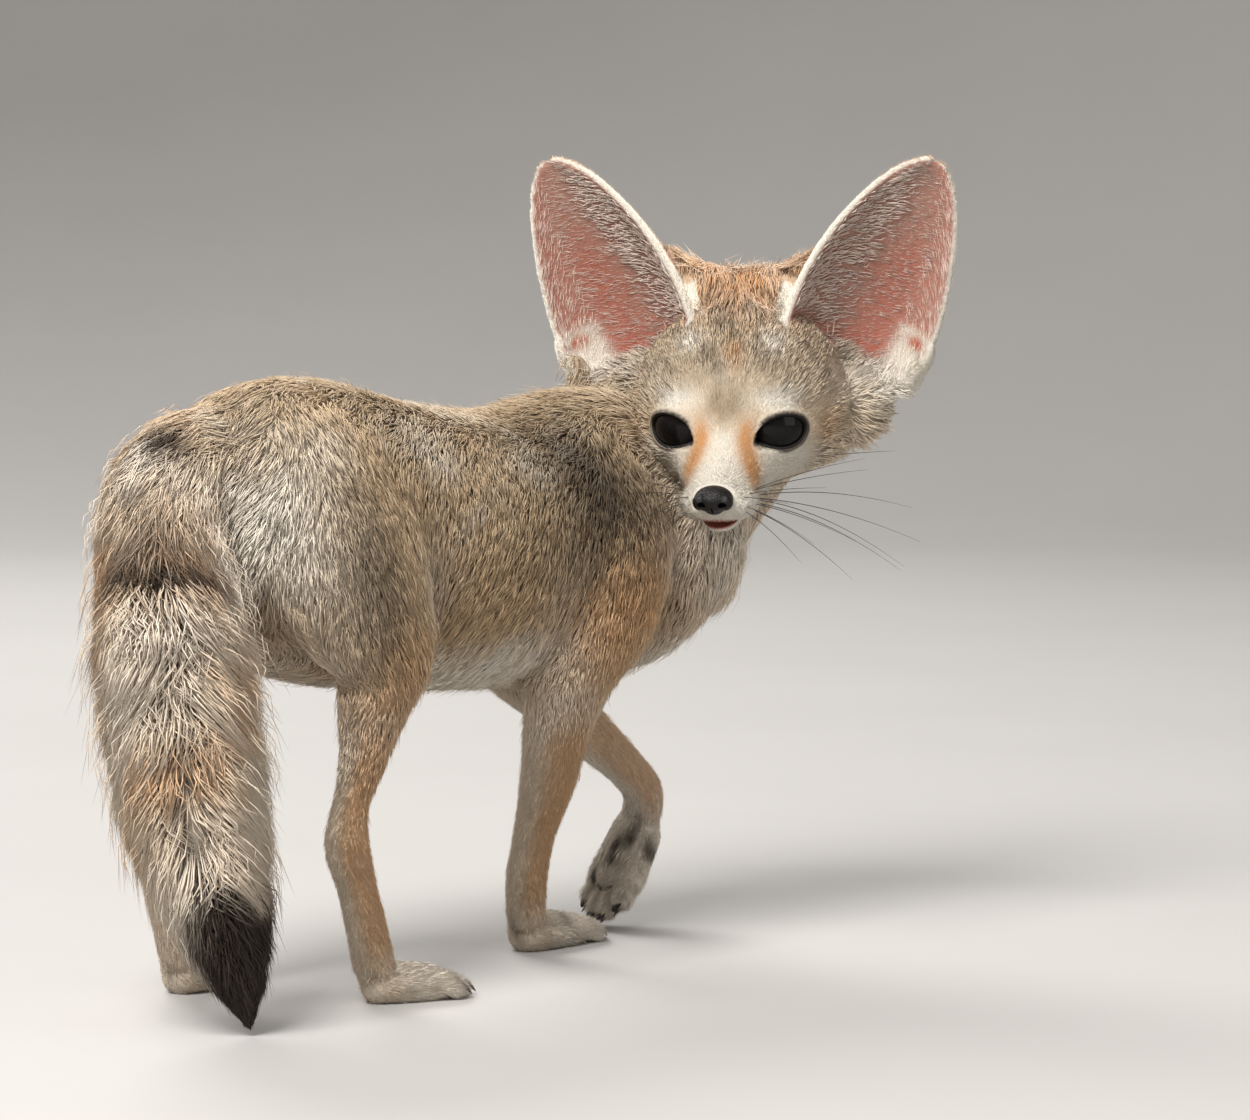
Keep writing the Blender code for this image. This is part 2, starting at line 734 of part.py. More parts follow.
def eyeball(bm, side, radius):
    """Adds a ball round an eye's middle, with its pole where the eye looks."""
    place = Matrix.Translation(eye_centre(side) * MM)
    place = place @ eye_turn(side).to_matrix().to_4x4() @ Matrix.Rotation(math.pi / 2, 4, "Y")
    bmesh.ops.create_uvsphere(bm, u_segments=14, v_segments=9, radius=radius * MM, matrix=place)


def make_eye(name, side, turned):
    """Builds one eyeball."""
    bm = bmesh.new()
    eyeball(bm, side, EYE_RADIUS)
    return new_object(name, bm, turned)


def make_nose(head, turned):
    """Builds the nose pad with its two nostrils, and beds it in the muzzle."""
    bm = bmesh.new()
    for shape in (NOSE_PAD, NOSE_FOOT):
        lump(bm, shape, at=NOSE_AT, detail=2)
    nose = new_object("nose", bm, turned)
    fuse_flesh(nose, NOSE_VOXEL, 2, NOSE_TRIANGLES)
    holes = bmesh.new()
    for side in (-1, 1):
        lump(holes, NOSTRIL, side, NOSE_AT, 1)
    boolean(nose, "DIFFERENCE", [new_object("nostrils", holes, turned)])
    keep_largest(nose)
    fit_to(head, nose)
    return nose


def ear_axes(side):
    """An ear's upward, outward and facing directions, and its height."""
    root = Vector((EAR_ROOT[0], EAR_ROOT[1] * side, EAR_ROOT[2]))
    tip = Vector((EAR_TIP[0], EAR_TIP[1] * side, EAR_TIP[2]))
    up = (tip - root).normalized()
    facing = Vector((EAR_FACING[0], EAR_FACING[1] * side, EAR_FACING[2]))
    facing = (facing - up * facing.dot(up)).normalized()
    return root, up, facing.cross(up) * -side, facing, (tip - root).length


def ear_sheet(bm, side, columns=10):
    """Adds an ear's cupped surface, open towards the front, as rows of quads."""
    root, up, outward, facing, height = ear_axes(side)
    rows = []
    for share, outer, inner, hollow in EAR_SHAPE:
        row = []
        for k in range(columns + 1):
            s = -1 + 2 * k / columns
            bend = s * math.radians(84)
            across = (outer if s > 0 else inner) * math.sin(bend) / math.sin(math.radians(84))
            sink = hollow * (math.cos(bend) - math.cos(math.radians(84)))
            row.append(bm.verts.new((root + up * share * height + outward * across - facing * sink) * MM))
        rows.append(row)
    for low, high in zip(rows, rows[1:]):
        for k in range(columns):
            bm.faces.new((low[k], low[k + 1], high[k + 1], high[k]))


def chest_roots():
    """Where the locks of the chest's ruff stand: rows down its front from the throat."""
    roots = []
    for row, z in enumerate((150, 136, 122)):
        for k in range(5):
            turn = math.radians(-60 + 30 * k + 15 * (row % 2))
            place = (104 + 16 * math.cos(turn), -10 + 22 * math.sin(turn), z)
            roots.append((place, (-0.15, 0, -1)))
    return roots


def make_ear(name, side, neighbours, turned):
    """Builds one ear as a thin-walled cup."""
    bm = bmesh.new()
    ear_sheet(bm, side)
    ear = new_object(name, bm, turned)
    add_modifier(ear, "SOLIDIFY", thickness=EAR_WALL * MM, offset=0, use_even_offset=False)
    apply_modifiers(ear)
    bm = bmesh.new()
    bm.from_mesh(ear.data)
    bmesh.ops.recalc_face_normals(bm, faces=bm.faces)
    bm.to_mesh(ear.data)
    bm.free()
    for neighbour in neighbours:
        fit_to(ear, neighbour)
    return ear


def finish(obj):
    """Gives an object its own finish, and shades it smooth but for its creases."""
    kind = next(key for key in FINISHES if obj.name.startswith(key))
    colour, roughness, metallic = FINISHES[kind]
    material = bpy.data.materials.new(obj.name + "_finish")
    material.use_nodes = True
    shader = material.node_tree.nodes["Principled BSDF"]
    shader.inputs["Base Color"].default_value = (*colour, 1)
    shader.inputs["Roughness"].default_value = roughness
    shader.inputs["Metallic"].default_value = metallic
    obj.data.materials.clear()
    obj.data.materials.append(material)
    obj.data.shade_smooth()
    obj.data.set_sharp_from_angle(angle=math.radians(CREASE))


def stand_on_origin(nodes, holder):
    """Sets the holder so that the fox stands centred over the world's origin."""
    bpy.context.view_layer.update()
    corners = [obj.matrix_world @ vert.co for obj in nodes for vert in obj.data.vertices]
    low = Vector([min(c[i] for c in corners) for i in range(3)])
    high = Vector([max(c[i] for c in corners) for i in range(3)])
    holder.location -= Vector(((low.x + high.x) / 2, (low.y + high.y) / 2, low.z))


def main():
    """Builds the fox."""
    for obj in list(bpy.data.objects):
        bpy.data.objects.remove(obj)
    holder = bpy.data.objects.new("fox", None)
    turned = bpy.data.objects.new("head_turn", None)
    for empty in (holder, turned):
        bpy.context.collection.objects.link(empty)
    turned.parent = holder
    turned.location = Vector(HEAD_AT) * MM
    turned.rotation_euler = (0, math.radians(HEAD_NOD), math.radians(HEAD_TURN))
    head = make_head(turned)
    made = part_flesh(make_flesh())
    for obj in made.values():
        obj.parent = holder
    for name in ("neck", "torso"):
        fit_to(made[name], head)
    add_locks(head, crown_and_cheek_roots(), *HEAD_LOCK, (made["neck"], made["torso"]))
    open_head(head, turned)
    nose = make_nose(head, turned)
    eyes = [make_eye("eye_left", 1, turned), make_eye("eye_right", -1, turned)]
    ears = [
        make_ear("ear_left", 1, [head, made["neck"]], turned),
        make_ear("ear_right", -1, [head, made["neck"]], turned),
    ]
    fore_legs = (made["leg_fore_left"], made["leg_fore_right"])
    add_locks(made["neck"], chest_roots(), *CHEST_LOCK, (head, *fore_legs))
    tail = make_tail([made["torso"], made["leg_hind_left"], made["leg_hind_right"]])
    tail.parent = holder
    nodes = [head, nose, *eyes, *ears, *made.values(), tail]
    for obj in nodes:
        finish(obj)
    stand_on_origin(nodes, holder)


main()
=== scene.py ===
"""Looks of the fennec fox: one skin, its coat of tufts, eyes, nose, mouth, whiskers, pads and claws.

Sizes are in millimetres. The body's own frame has the trunk along +X and the left side at +Y. The head
has a level frame of its own that faces +X and is turned back over the right shoulder.
"""

import logging
import math
from dataclasses import dataclass, field, fields
from enum import Enum
from typing import Any, Dict, List, Optional, Sequence, Tuple

import bmesh
import bpy
import numpy as np
from mathutils import Euler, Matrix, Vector
from mathutils.bvhtree import BVHTree
from mathutils.kdtree import KDTree


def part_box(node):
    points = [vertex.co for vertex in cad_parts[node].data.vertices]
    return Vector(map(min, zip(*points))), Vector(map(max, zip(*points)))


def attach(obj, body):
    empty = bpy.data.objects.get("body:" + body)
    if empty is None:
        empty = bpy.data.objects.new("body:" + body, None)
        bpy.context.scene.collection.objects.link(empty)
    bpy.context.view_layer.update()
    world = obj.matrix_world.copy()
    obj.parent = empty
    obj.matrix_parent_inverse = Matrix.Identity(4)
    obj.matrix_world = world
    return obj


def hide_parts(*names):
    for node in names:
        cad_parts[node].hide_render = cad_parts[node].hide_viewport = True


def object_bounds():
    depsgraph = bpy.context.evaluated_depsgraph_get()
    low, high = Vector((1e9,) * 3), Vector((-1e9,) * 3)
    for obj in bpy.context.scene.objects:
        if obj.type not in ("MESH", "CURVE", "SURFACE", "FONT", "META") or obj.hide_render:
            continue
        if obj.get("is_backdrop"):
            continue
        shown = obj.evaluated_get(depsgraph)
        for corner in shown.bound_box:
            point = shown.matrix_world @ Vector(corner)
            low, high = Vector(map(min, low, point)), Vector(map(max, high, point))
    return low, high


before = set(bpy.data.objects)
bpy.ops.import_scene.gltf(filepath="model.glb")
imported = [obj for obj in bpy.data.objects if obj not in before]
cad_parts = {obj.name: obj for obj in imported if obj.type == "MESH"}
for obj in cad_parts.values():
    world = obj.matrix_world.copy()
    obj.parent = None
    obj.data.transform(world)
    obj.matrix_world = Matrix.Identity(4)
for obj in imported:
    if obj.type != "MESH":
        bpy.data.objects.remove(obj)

LOG = logging.getLogger("fox")
MM = 0.001
PATCH = 0.003
DOME_TURNS = tuple(math.radians(turn) for turn in (78, 60, 40, 20))
Row = Tuple[float, ...]
Point = Sequence[float]
Faces = List[Tuple[int, ...]]
Array = np.ndarray
Object = bpy.types.Object
Material = bpy.types.Material
Colour = Tuple[float, float, float]


class Side(Enum):
    """A side of the body, by the sign of its sideways axis."""

    LEFT = 1
    RIGHT = -1


class Mark(Enum):
    """The markings that the skin and the coat share, in the order their channels are kept."""

    PALE = 0
    RUST = 1
    DARK = 2
    GREY = 3
    PINK = 4
    RED = 5


PALE, RUST, DARK, GREY = (Mark.PALE, Mark.RUST, Mark.DARK, Mark.GREY)


# ---- numbers ----


def unit(vectors: Array) -> Array:
    """Vectors scaled to a length of one."""
    return vectors / np.maximum(np.linalg.norm(vectors, axis=-1, keepdims=True), 1e-9)


def step(values: Array, low: float, high: float) -> Array:
    """A smooth rise from 0 at low to 1 at high."""
    t = np.clip((values - low) / (high - low), 0, 1)
    return t * t * (3 - 2 * t)


def blot(points: Array, centre: Point, radii: Point) -> Array:
    """A soft patch round a place, 1 in its middle and 0 far away."""
    return np.exp(-(((points - np.array(centre)) / np.array(radii)) ** 2).sum(axis=1))


def ellipsoid(points: Array, centre: Point, radii: Point) -> Array:
    """How far out places are in an ellipsoid: 0 in its middle and 1 on its surface."""
    return np.linalg.norm((points - np.array(centre)) / np.array(radii), axis=1)


def gaps(points: Array, targets: Array) -> Array:
    """The distance from every place to every target, one row for each place."""
    squares = (points**2).sum(axis=1)[:, None] - 2 * points @ targets.T + (targets**2).sum(axis=1)[None]
    return np.sqrt(np.maximum(squares, 0))


def flatten(vectors: Array, normals: Array) -> Array:
    """Vectors with what points along the normals taken off."""
    return vectors - normals * (vectors * normals).sum(axis=1)[:, None]


def tilted(across: Array, up: Array, angle: float) -> Array:
    """Flat places turned by an angle, a sideways and an upward number in each row."""
    cosine, sine = math.cos(angle), math.sin(angle)
    return np.column_stack([across * cosine - up * sine, across * sine + up * cosine])


def lengths_along(places: Array) -> Array:
    """How far along its line each place is."""
    return np.concatenate([[0], np.cumsum(np.linalg.norm(np.diff(places, axis=0), axis=1))])


def noise(points: Array, scale: float, seed: int) -> Array:
    """Smooth noise from -1 to 1 over points.

    Args:
        points: places in millimetres.
        scale: the size of the noise's grains in millimetres.
        seed: picks one of many patterns.

    Returns:
        One number for each place.
    """
    q = points / scale + seed * 17.31
    base = np.floor(q).astype(np.int64)
    part = q - base
    part = part * part * (3 - 2 * part)
    total = np.zeros(len(points))
    for corner in range(8):
        offset = np.array([corner & 1, corner >> 1 & 1, corner >> 2 & 1])
        cell = base + offset
        mixed = cell[:, 0] * 374761393 + cell[:, 1] * 668265263 + cell[:, 2] * 2147483647 + seed * 144665
        mixed = (mixed ^ (mixed >> 13)) * 1274126177 & 0xFFFFFFFF
        value = ((mixed ^ (mixed >> 16)) & 0xFFFF) / 32767.5 - 1
        total += value * np.prod(np.where(offset, part, 1 - part), axis=1)
    return total


def curve_through(rows: Sequence[Row], count: int) -> Array:
    """Resamples rows of numbers, whose first three are a place, on one smooth curve.

    Args:
        rows: stations, each a row of numbers.
        count: how many places to find.

    Returns:
        One row for each place, evenly along the curve.
    """
    table = np.array(rows, float)
    reach = lengths_along(table[:, :3])
    slopes = np.gradient(table, reach, axis=0)
    s = np.linspace(0, reach[-1], count)
    i = np.clip(np.searchsorted(reach, s, side="right") - 1, 0, len(reach) - 2)
    span = (reach[i + 1] - reach[i])[:, None]
    u = (s[:, None] - reach[i][:, None]) / span
    return (
        table[i] * (2 * u**3 - 3 * u**2 + 1)
        + slopes[i] * span * (u**3 - 2 * u**2 + u)
        + table[i + 1] * (3 * u**2 - 2 * u**3)
        + slopes[i + 1] * span * (u**3 - u**2)
    )


@dataclass(frozen=True)
class Place:
    """A frame in millimetres that is turned and set in the body's frame."""

    turn: Array
    origin: Array

    def out(self, points: Array) -> Array:
        """Points of this frame, in the body's frame."""
        return np.asarray(points, float) @ self.turn.T + self.origin

    def into(self, points: Array) -> Array:
        """Points of the body's frame, in this one."""
        return (np.asarray(points, float) - self.origin) @ self.turn


BODY = Place(np.eye(3), np.zeros(3))


# ---- meshes ----


def place_object(name: str, data: Any) -> Object:
    """Puts a mesh, a light or a camera into the scene.

    Args:
        name: the object's name.
        data: what it shows.

    Returns:
        The new object.
    """
    obj = bpy.data.objects.new(name, data)
    bpy.context.scene.collection.objects.link(obj)
    return obj


def new_mesh(name: str, points: Array, faces: Faces) -> Object:
    """Makes an object of a mesh.

    Args:
        name: the object's name.
        points: its places in metres.
        faces: its faces, as numbers of their places.

    Returns:
        The new object.
    """
    mesh = bpy.data.meshes.new(name)
    mesh.from_pydata([tuple(p) for p in points], [], [tuple(f) for f in faces])
    mesh.update()
    return place_object(name, mesh)


def ring_faces(rings: int, sides: int) -> Faces:
    """The faces between neighbouring rings of places.

    Args:
        rings: how many rings there are.
        sides: how many places each ring has.

    Returns:
        The faces, ring by ring.
    """
    faces = []
    for low in range(0, (rings - 1) * sides, sides):
        for k in range(sides):
            m = (k + 1) % sides
            faces.append((low + k, low + m, low + sides + m, low + sides + k))
    return faces


def read(items: Any, what: str, size: int, kind: type = float) -> Array:
    """Reads numbers from all the vertices, corners or faces of a mesh.

    Args:
        items: the collection to read.
        what: the property's name.
        size: how many numbers each item has.
        kind: the type of the numbers.

    Returns:
        One row for each item.
    """
    values = np.empty(len(items) * size, kind)
    items.foreach_get(what, values)
    return values.reshape(-1, size)


def dress(obj: Object, *finish: Material) -> Object:
    """Shades a piece smoothly and gives it a finish, unless it has its own.

    Args:
        obj: the piece.
        *finish: its one material, or nothing.

    Returns:
        The same piece.
    """
    if finish:
        obj.data.materials.clear()
        obj.data.materials.append(finish[0])
    obj.data.polygons.foreach_set("use_smooth", np.ones(len(obj.data.polygons), bool))
    return obj


def triangles(obj: Object) -> int:
    """How many triangles a piece has."""
    return sum(len(face.vertices) - 2 for face in obj.data.polygons)


def orient(obj: Object) -> None:
    """Turns a closed mesh's faces outwards.

    Args:
        obj: the object of the mesh.
    """
    bm = bmesh.new()
    bm.from_mesh(obj.data)
    bmesh.ops.recalc_face_normals(bm, faces=bm.faces)
    bm.to_mesh(obj.data)
    bm.free()


def add_modifier(obj: Object, kind: str, **settings: Any) -> bpy.types.Modifier:
    """Adds a modifier with these settings.

    Args:
        obj: the object.
        kind: the modifier's type.
        **settings: its settings by name.

    Returns:
        The modifier.
    """
    modifier = obj.modifiers.new(kind.title(), kind)
    for key, value in settings.items():
        setattr(modifier, key, value)
    return modifier


def apply_modifiers(obj: Object) -> None:
    """Replaces an object's mesh with what its modifiers make of it.

    Args:
        obj: the object, which keeps no modifier.
    """
    bpy.context.view_layer.update()
    graph = bpy.context.evaluated_depsgraph_get()
    mesh = bpy.data.meshes.new_from_object(obj.evaluated_get(graph))
    obj.modifiers.clear()
    old = obj.data
    obj.data = mesh
    bpy.data.meshes.remove(old)


def combine(obj: Object, operation: str, other: Object) -> None:
    """Unites an object with a helper, or cuts the helper out, and removes the helper.

    Args:
        obj: the object that stays.
        operation: UNION or DIFFERENCE.
        other: the helper.
    """
    add_modifier(obj, "BOOLEAN", operation=operation, solver="MANIFOLD", object=other)
    apply_modifiers(obj)
    bpy.data.objects.remove(other)


class Clay:
    """Gathers overlapping closed forms, to be melted into one surface."""

    def __init__(self, place: Place, shift: Array) -> None:
        """Starts empty.

        Args:
            place: the frame that the forms are given in.
            shift: from the body's frame to the model's.
        """
        self.place, self.shift = place, shift
        self.points: List[Array] = []
        self.faces: Faces = []
        self.count = 0

    def add(self, points: Array, faces: Faces) -> None:
        """Adds one closed form.

        Args:
            points: its places in the frame of the clay.
            faces: its faces, as numbers of its places.
        """
        self.faces += [tuple(i + self.count for i in face) for face in faces]
        self.points.append(np.asarray(points, float))
        self.count += len(points)

    def loft(
        self, rows: Sequence[Row], across: Point, sides: int, count: int, dome: float = 0.7
    ) -> None:
        """Adds a tube with domed ends.

        Args:
            rows: stations of centre, half width and half depth.
            across: which way the width is measured.
            sides: how many corners the tube has.
            count: how many rings the stations are resampled to.
            dome: how far the ends bulge, as a share of their smaller half width.
        """
        rows = curve_through(rows, count)
        centres, sizes = rows[:, :3], rows[:, 3:5]
        along = unit(np.gradient(centres, axis=0))
        wide = np.array(across, float)
        side = unit(wide[None] - along * (along @ wide)[:, None])
        depth = np.cross(along, side)
        stack = []
        for end, sign in ((0, -1.0), (len(rows) - 1, 1.0)):
            cap = []
            for turn in DOME_TURNS:
                lift = along[end] * sign * dome * sizes[end].min() * math.sin(turn)
                cap.append((centres[end] + lift, side[end], depth[end], sizes[end] * math.cos(turn)))
            if sign < 0:
                stack += cap + list(zip(centres, side, depth, sizes))
            else:
                stack += cap[::-1]
        angle = math.tau * np.arange(sides) / sides
        points = [
            c + np.outer(np.cos(angle) * w[0], s) + np.outer(np.sin(angle) * w[1], d) for c, s, d, w in stack
        ]
        faces = ring_faces(len(stack), sides)
        last = (len(stack) - 1) * sides
        faces.append(tuple(range(sides))[::-1])
        faces.append(tuple(range(last, last + sides)))
        self.add(np.vstack(points), faces)

    def ball(
        self, centre: Point, radii: Point, turn: Row = (0, 0, 0), fine: int = 4,
        spin: Optional[Array] = None,
    ) -> None:
        """Adds an ellipsoid.

        Args:
            centre: its middle.
            radii: its three radii.
            turn: angles in degrees that it is turned by.
            fine: how finely it is divided.
            spin: its axes as columns, in place of the angles.
        """
        bm = bmesh.new()
        bmesh.ops.create_icosphere(bm, subdivisions=fine, radius=1)
        if spin is None:
            spin = np.array(Euler([math.radians(t) for t in turn]).to_matrix())
        points = np.array([v.co for v in bm.verts]) * np.array(radii) @ spin.T + np.array(centre)
        self.add(points, [[v.index for v in f.verts] for f in bm.faces])
        bm.free()

    def shape(self, name: str) -> Object:
        """Makes the forms an object in the model's frame.

        Args:
            name: the object's name.

        Returns:
            The object.
        """
        points = (self.place.out(np.vstack(self.points)) + self.shift) * MM
        obj = new_mesh(name, points, self.faces)
        orient(obj)
        return obj

    def melt(self, name: str, voxel: float, smoothing: int) -> Object:
        """Melts the forms into one smooth closed surface.

        Args:
            name: the object's name.
            voxel: the finest detail that stays, in millimetres.
            smoothing: how often the surface is smoothed.

        Returns:
            The new object.
        """
        obj = self.shape(name)
        add_modifier(obj, "REMESH", mode="VOXEL", voxel_size=voxel * MM)
        add_modifier(obj, "SMOOTH", factor=0.5, iterations=smoothing)
        apply_modifiers(obj)
        return obj


# ---- anatomy ----


@dataclass
class Limb:
    """A stretch of the body: its stations, how far the skin lies inside the coat, and the coat on it."""

    name: str
    rows: Sequence[Row]
    depth: Sequence[Tuple[float, float]]
    hair: Sequence[Tuple[float, float]]
    forward: bool = True
    sides: int = 36
    samples: int = 40

    def skin_rows(self) -> List[Row]:
        """The stations with the coat's depth taken off their half widths.

        Returns:
            One row for each station.
        """
        table = np.array(self.rows, float)
        reach = lengths_along(table[:, :3])
        off = np.interp(reach / reach[-1], *zip(*self.depth))
        table[:, 3:5] = np.maximum(table[:, 3:5] - off[:, None], 1.2)
        return [tuple(row) for row in table]

    def form(self, clay: Clay) -> None:
        """Adds the limb's flesh."""
        clay.loft(self.skin_rows(), (0, 1, 0), self.sides, self.samples)

    def guide(self, place: Place = BODY) -> Dict[str, Array]:
        """Samples of the limb's middle line, for finding what part of the body a place is on.

        Args:
            place: the frame that the stations are given in.

        Returns:
            Middles, directions, radii and shares of the way along.
        """
        dense = curve_through(self.rows, self.samples)
        centres = place.out(dense[:, :3])
        along = unit(np.gradient(centres, axis=0))
        return {
            "centre": centres,
            "along": along if self.forward else -along,
            "radius": dense[:, 3:5].max(axis=1),
            "share": np.linspace(0, 1, self.samples),
        }


@dataclass
class Paw:
    """A paw: heel point, toe point, the way its back faces and how far the toes are spread."""

    name: str
    heel: Row
    toe: Row
    back: Row
    spread: float
    bulk: float = 1.0
    depth: float = 0.5

    def axes(self) -> Tuple[Array, Array, Array, float]:
        """The paw's ahead, sideways and back directions, and its length.

        Returns:
            Three directions and the length in millimetres.
        """
        heel, toe = np.array(self.heel, float), np.array(self.toe, float)
        back = unit(np.array(self.back, float))
        ahead = unit(toe - heel)
        side = unit(np.cross(back, ahead))
        return ahead, side, back, float(np.linalg.norm(toe - heel))

    def toes(self) -> List[Tuple[Array, Array, Array]]:
        """Root, middle and tip of each toe.

        Returns:
            Three places for each toe.
        """
        ahead, side, back, length = self.axes()
        heel = np.array(self.heel, float)
        out = []
        for place in (-1.5, -0.5, 0.5, 1.5):
            reach = 1.0 if abs(place) < 1 else 0.86
            root = heel + ahead * length * 0.45 + side * place * self.spread * 3.6
            tip = heel + ahead * length * reach + side * place * self.spread * 5.1 - back * 1.2
            out.append((root, (root + tip) / 2 + back * 1.6, tip))
        return out

    def guide(self) -> Dict[str, Array]:
        """Samples of the paw's middle line, past the end of its leg's.

        Returns:
            Middles, directions, radii and shares of the way along.
        """
        ahead = self.axes()[0]
        share = np.linspace(0, 1, 7)
        heel, toe = np.array(self.heel, float), np.array(self.toe, float)
        return {
            "centre": heel + np.outer(share, toe - heel),
            "along": np.tile(ahead, (7, 1)),
            "radius": np.full(7, 9.5),
            "share": 1.0 + 0.25 * share,
        }

    def form(self, clay: Clay) -> None:
        """Adds the palm and the toes, with a knuckle on each toe.

        Args:
            clay: what they are added to.
        """
        ahead, side, back, length = self.axes()
        heel = np.array(self.heel, float)
        palm = []
        for share, wide, deep in ((0.0, 7.8, 7.4), (0.35, 9.2, 7.0), (0.62, 9.4, 5.8)):
            broad = wide * (self.spread if share > 0.5 else 1)
            size = (broad * self.bulk - self.depth, deep * self.bulk - self.depth)
            palm.append((*(heel + ahead * length * share), *size))
        clay.loft(palm, side, 24, 12)
        for root, middle, tip in self.toes():
            b = self.bulk
            rows = [(*root, 2.9 * b, 3.2 * b), (*middle, 2.5 * b, 3.3 * b), (*tip, 2.5 * b, 2.8 * b)]
            clay.loft(rows, side, 16, 12)
            clay.ball(middle + back * 0.9 + ahead * 1.5, (2.7 * b, 2.4 * b, 2.6 * b))


@dataclass(frozen=True)
class Spot:
    """A soft patch of one marking or of painted shade: its middle, its radii and its strength."""

    mark: Mark
    centre: Row
    radii: Row
    power: float
    paired: bool = True

    def over(self, points: Array) -> Array:
        """The patch's strength at places, on both sides of the body if it is paired.

        Args:
            points: the places.

        Returns:
            One number for each place.
        """
        total = blot(points, self.centre, self.radii)
        if self.paired:
            total = np.maximum(total, blot(points * np.array([1, -1, 1]), self.centre, self.radii))
        return total * self.power


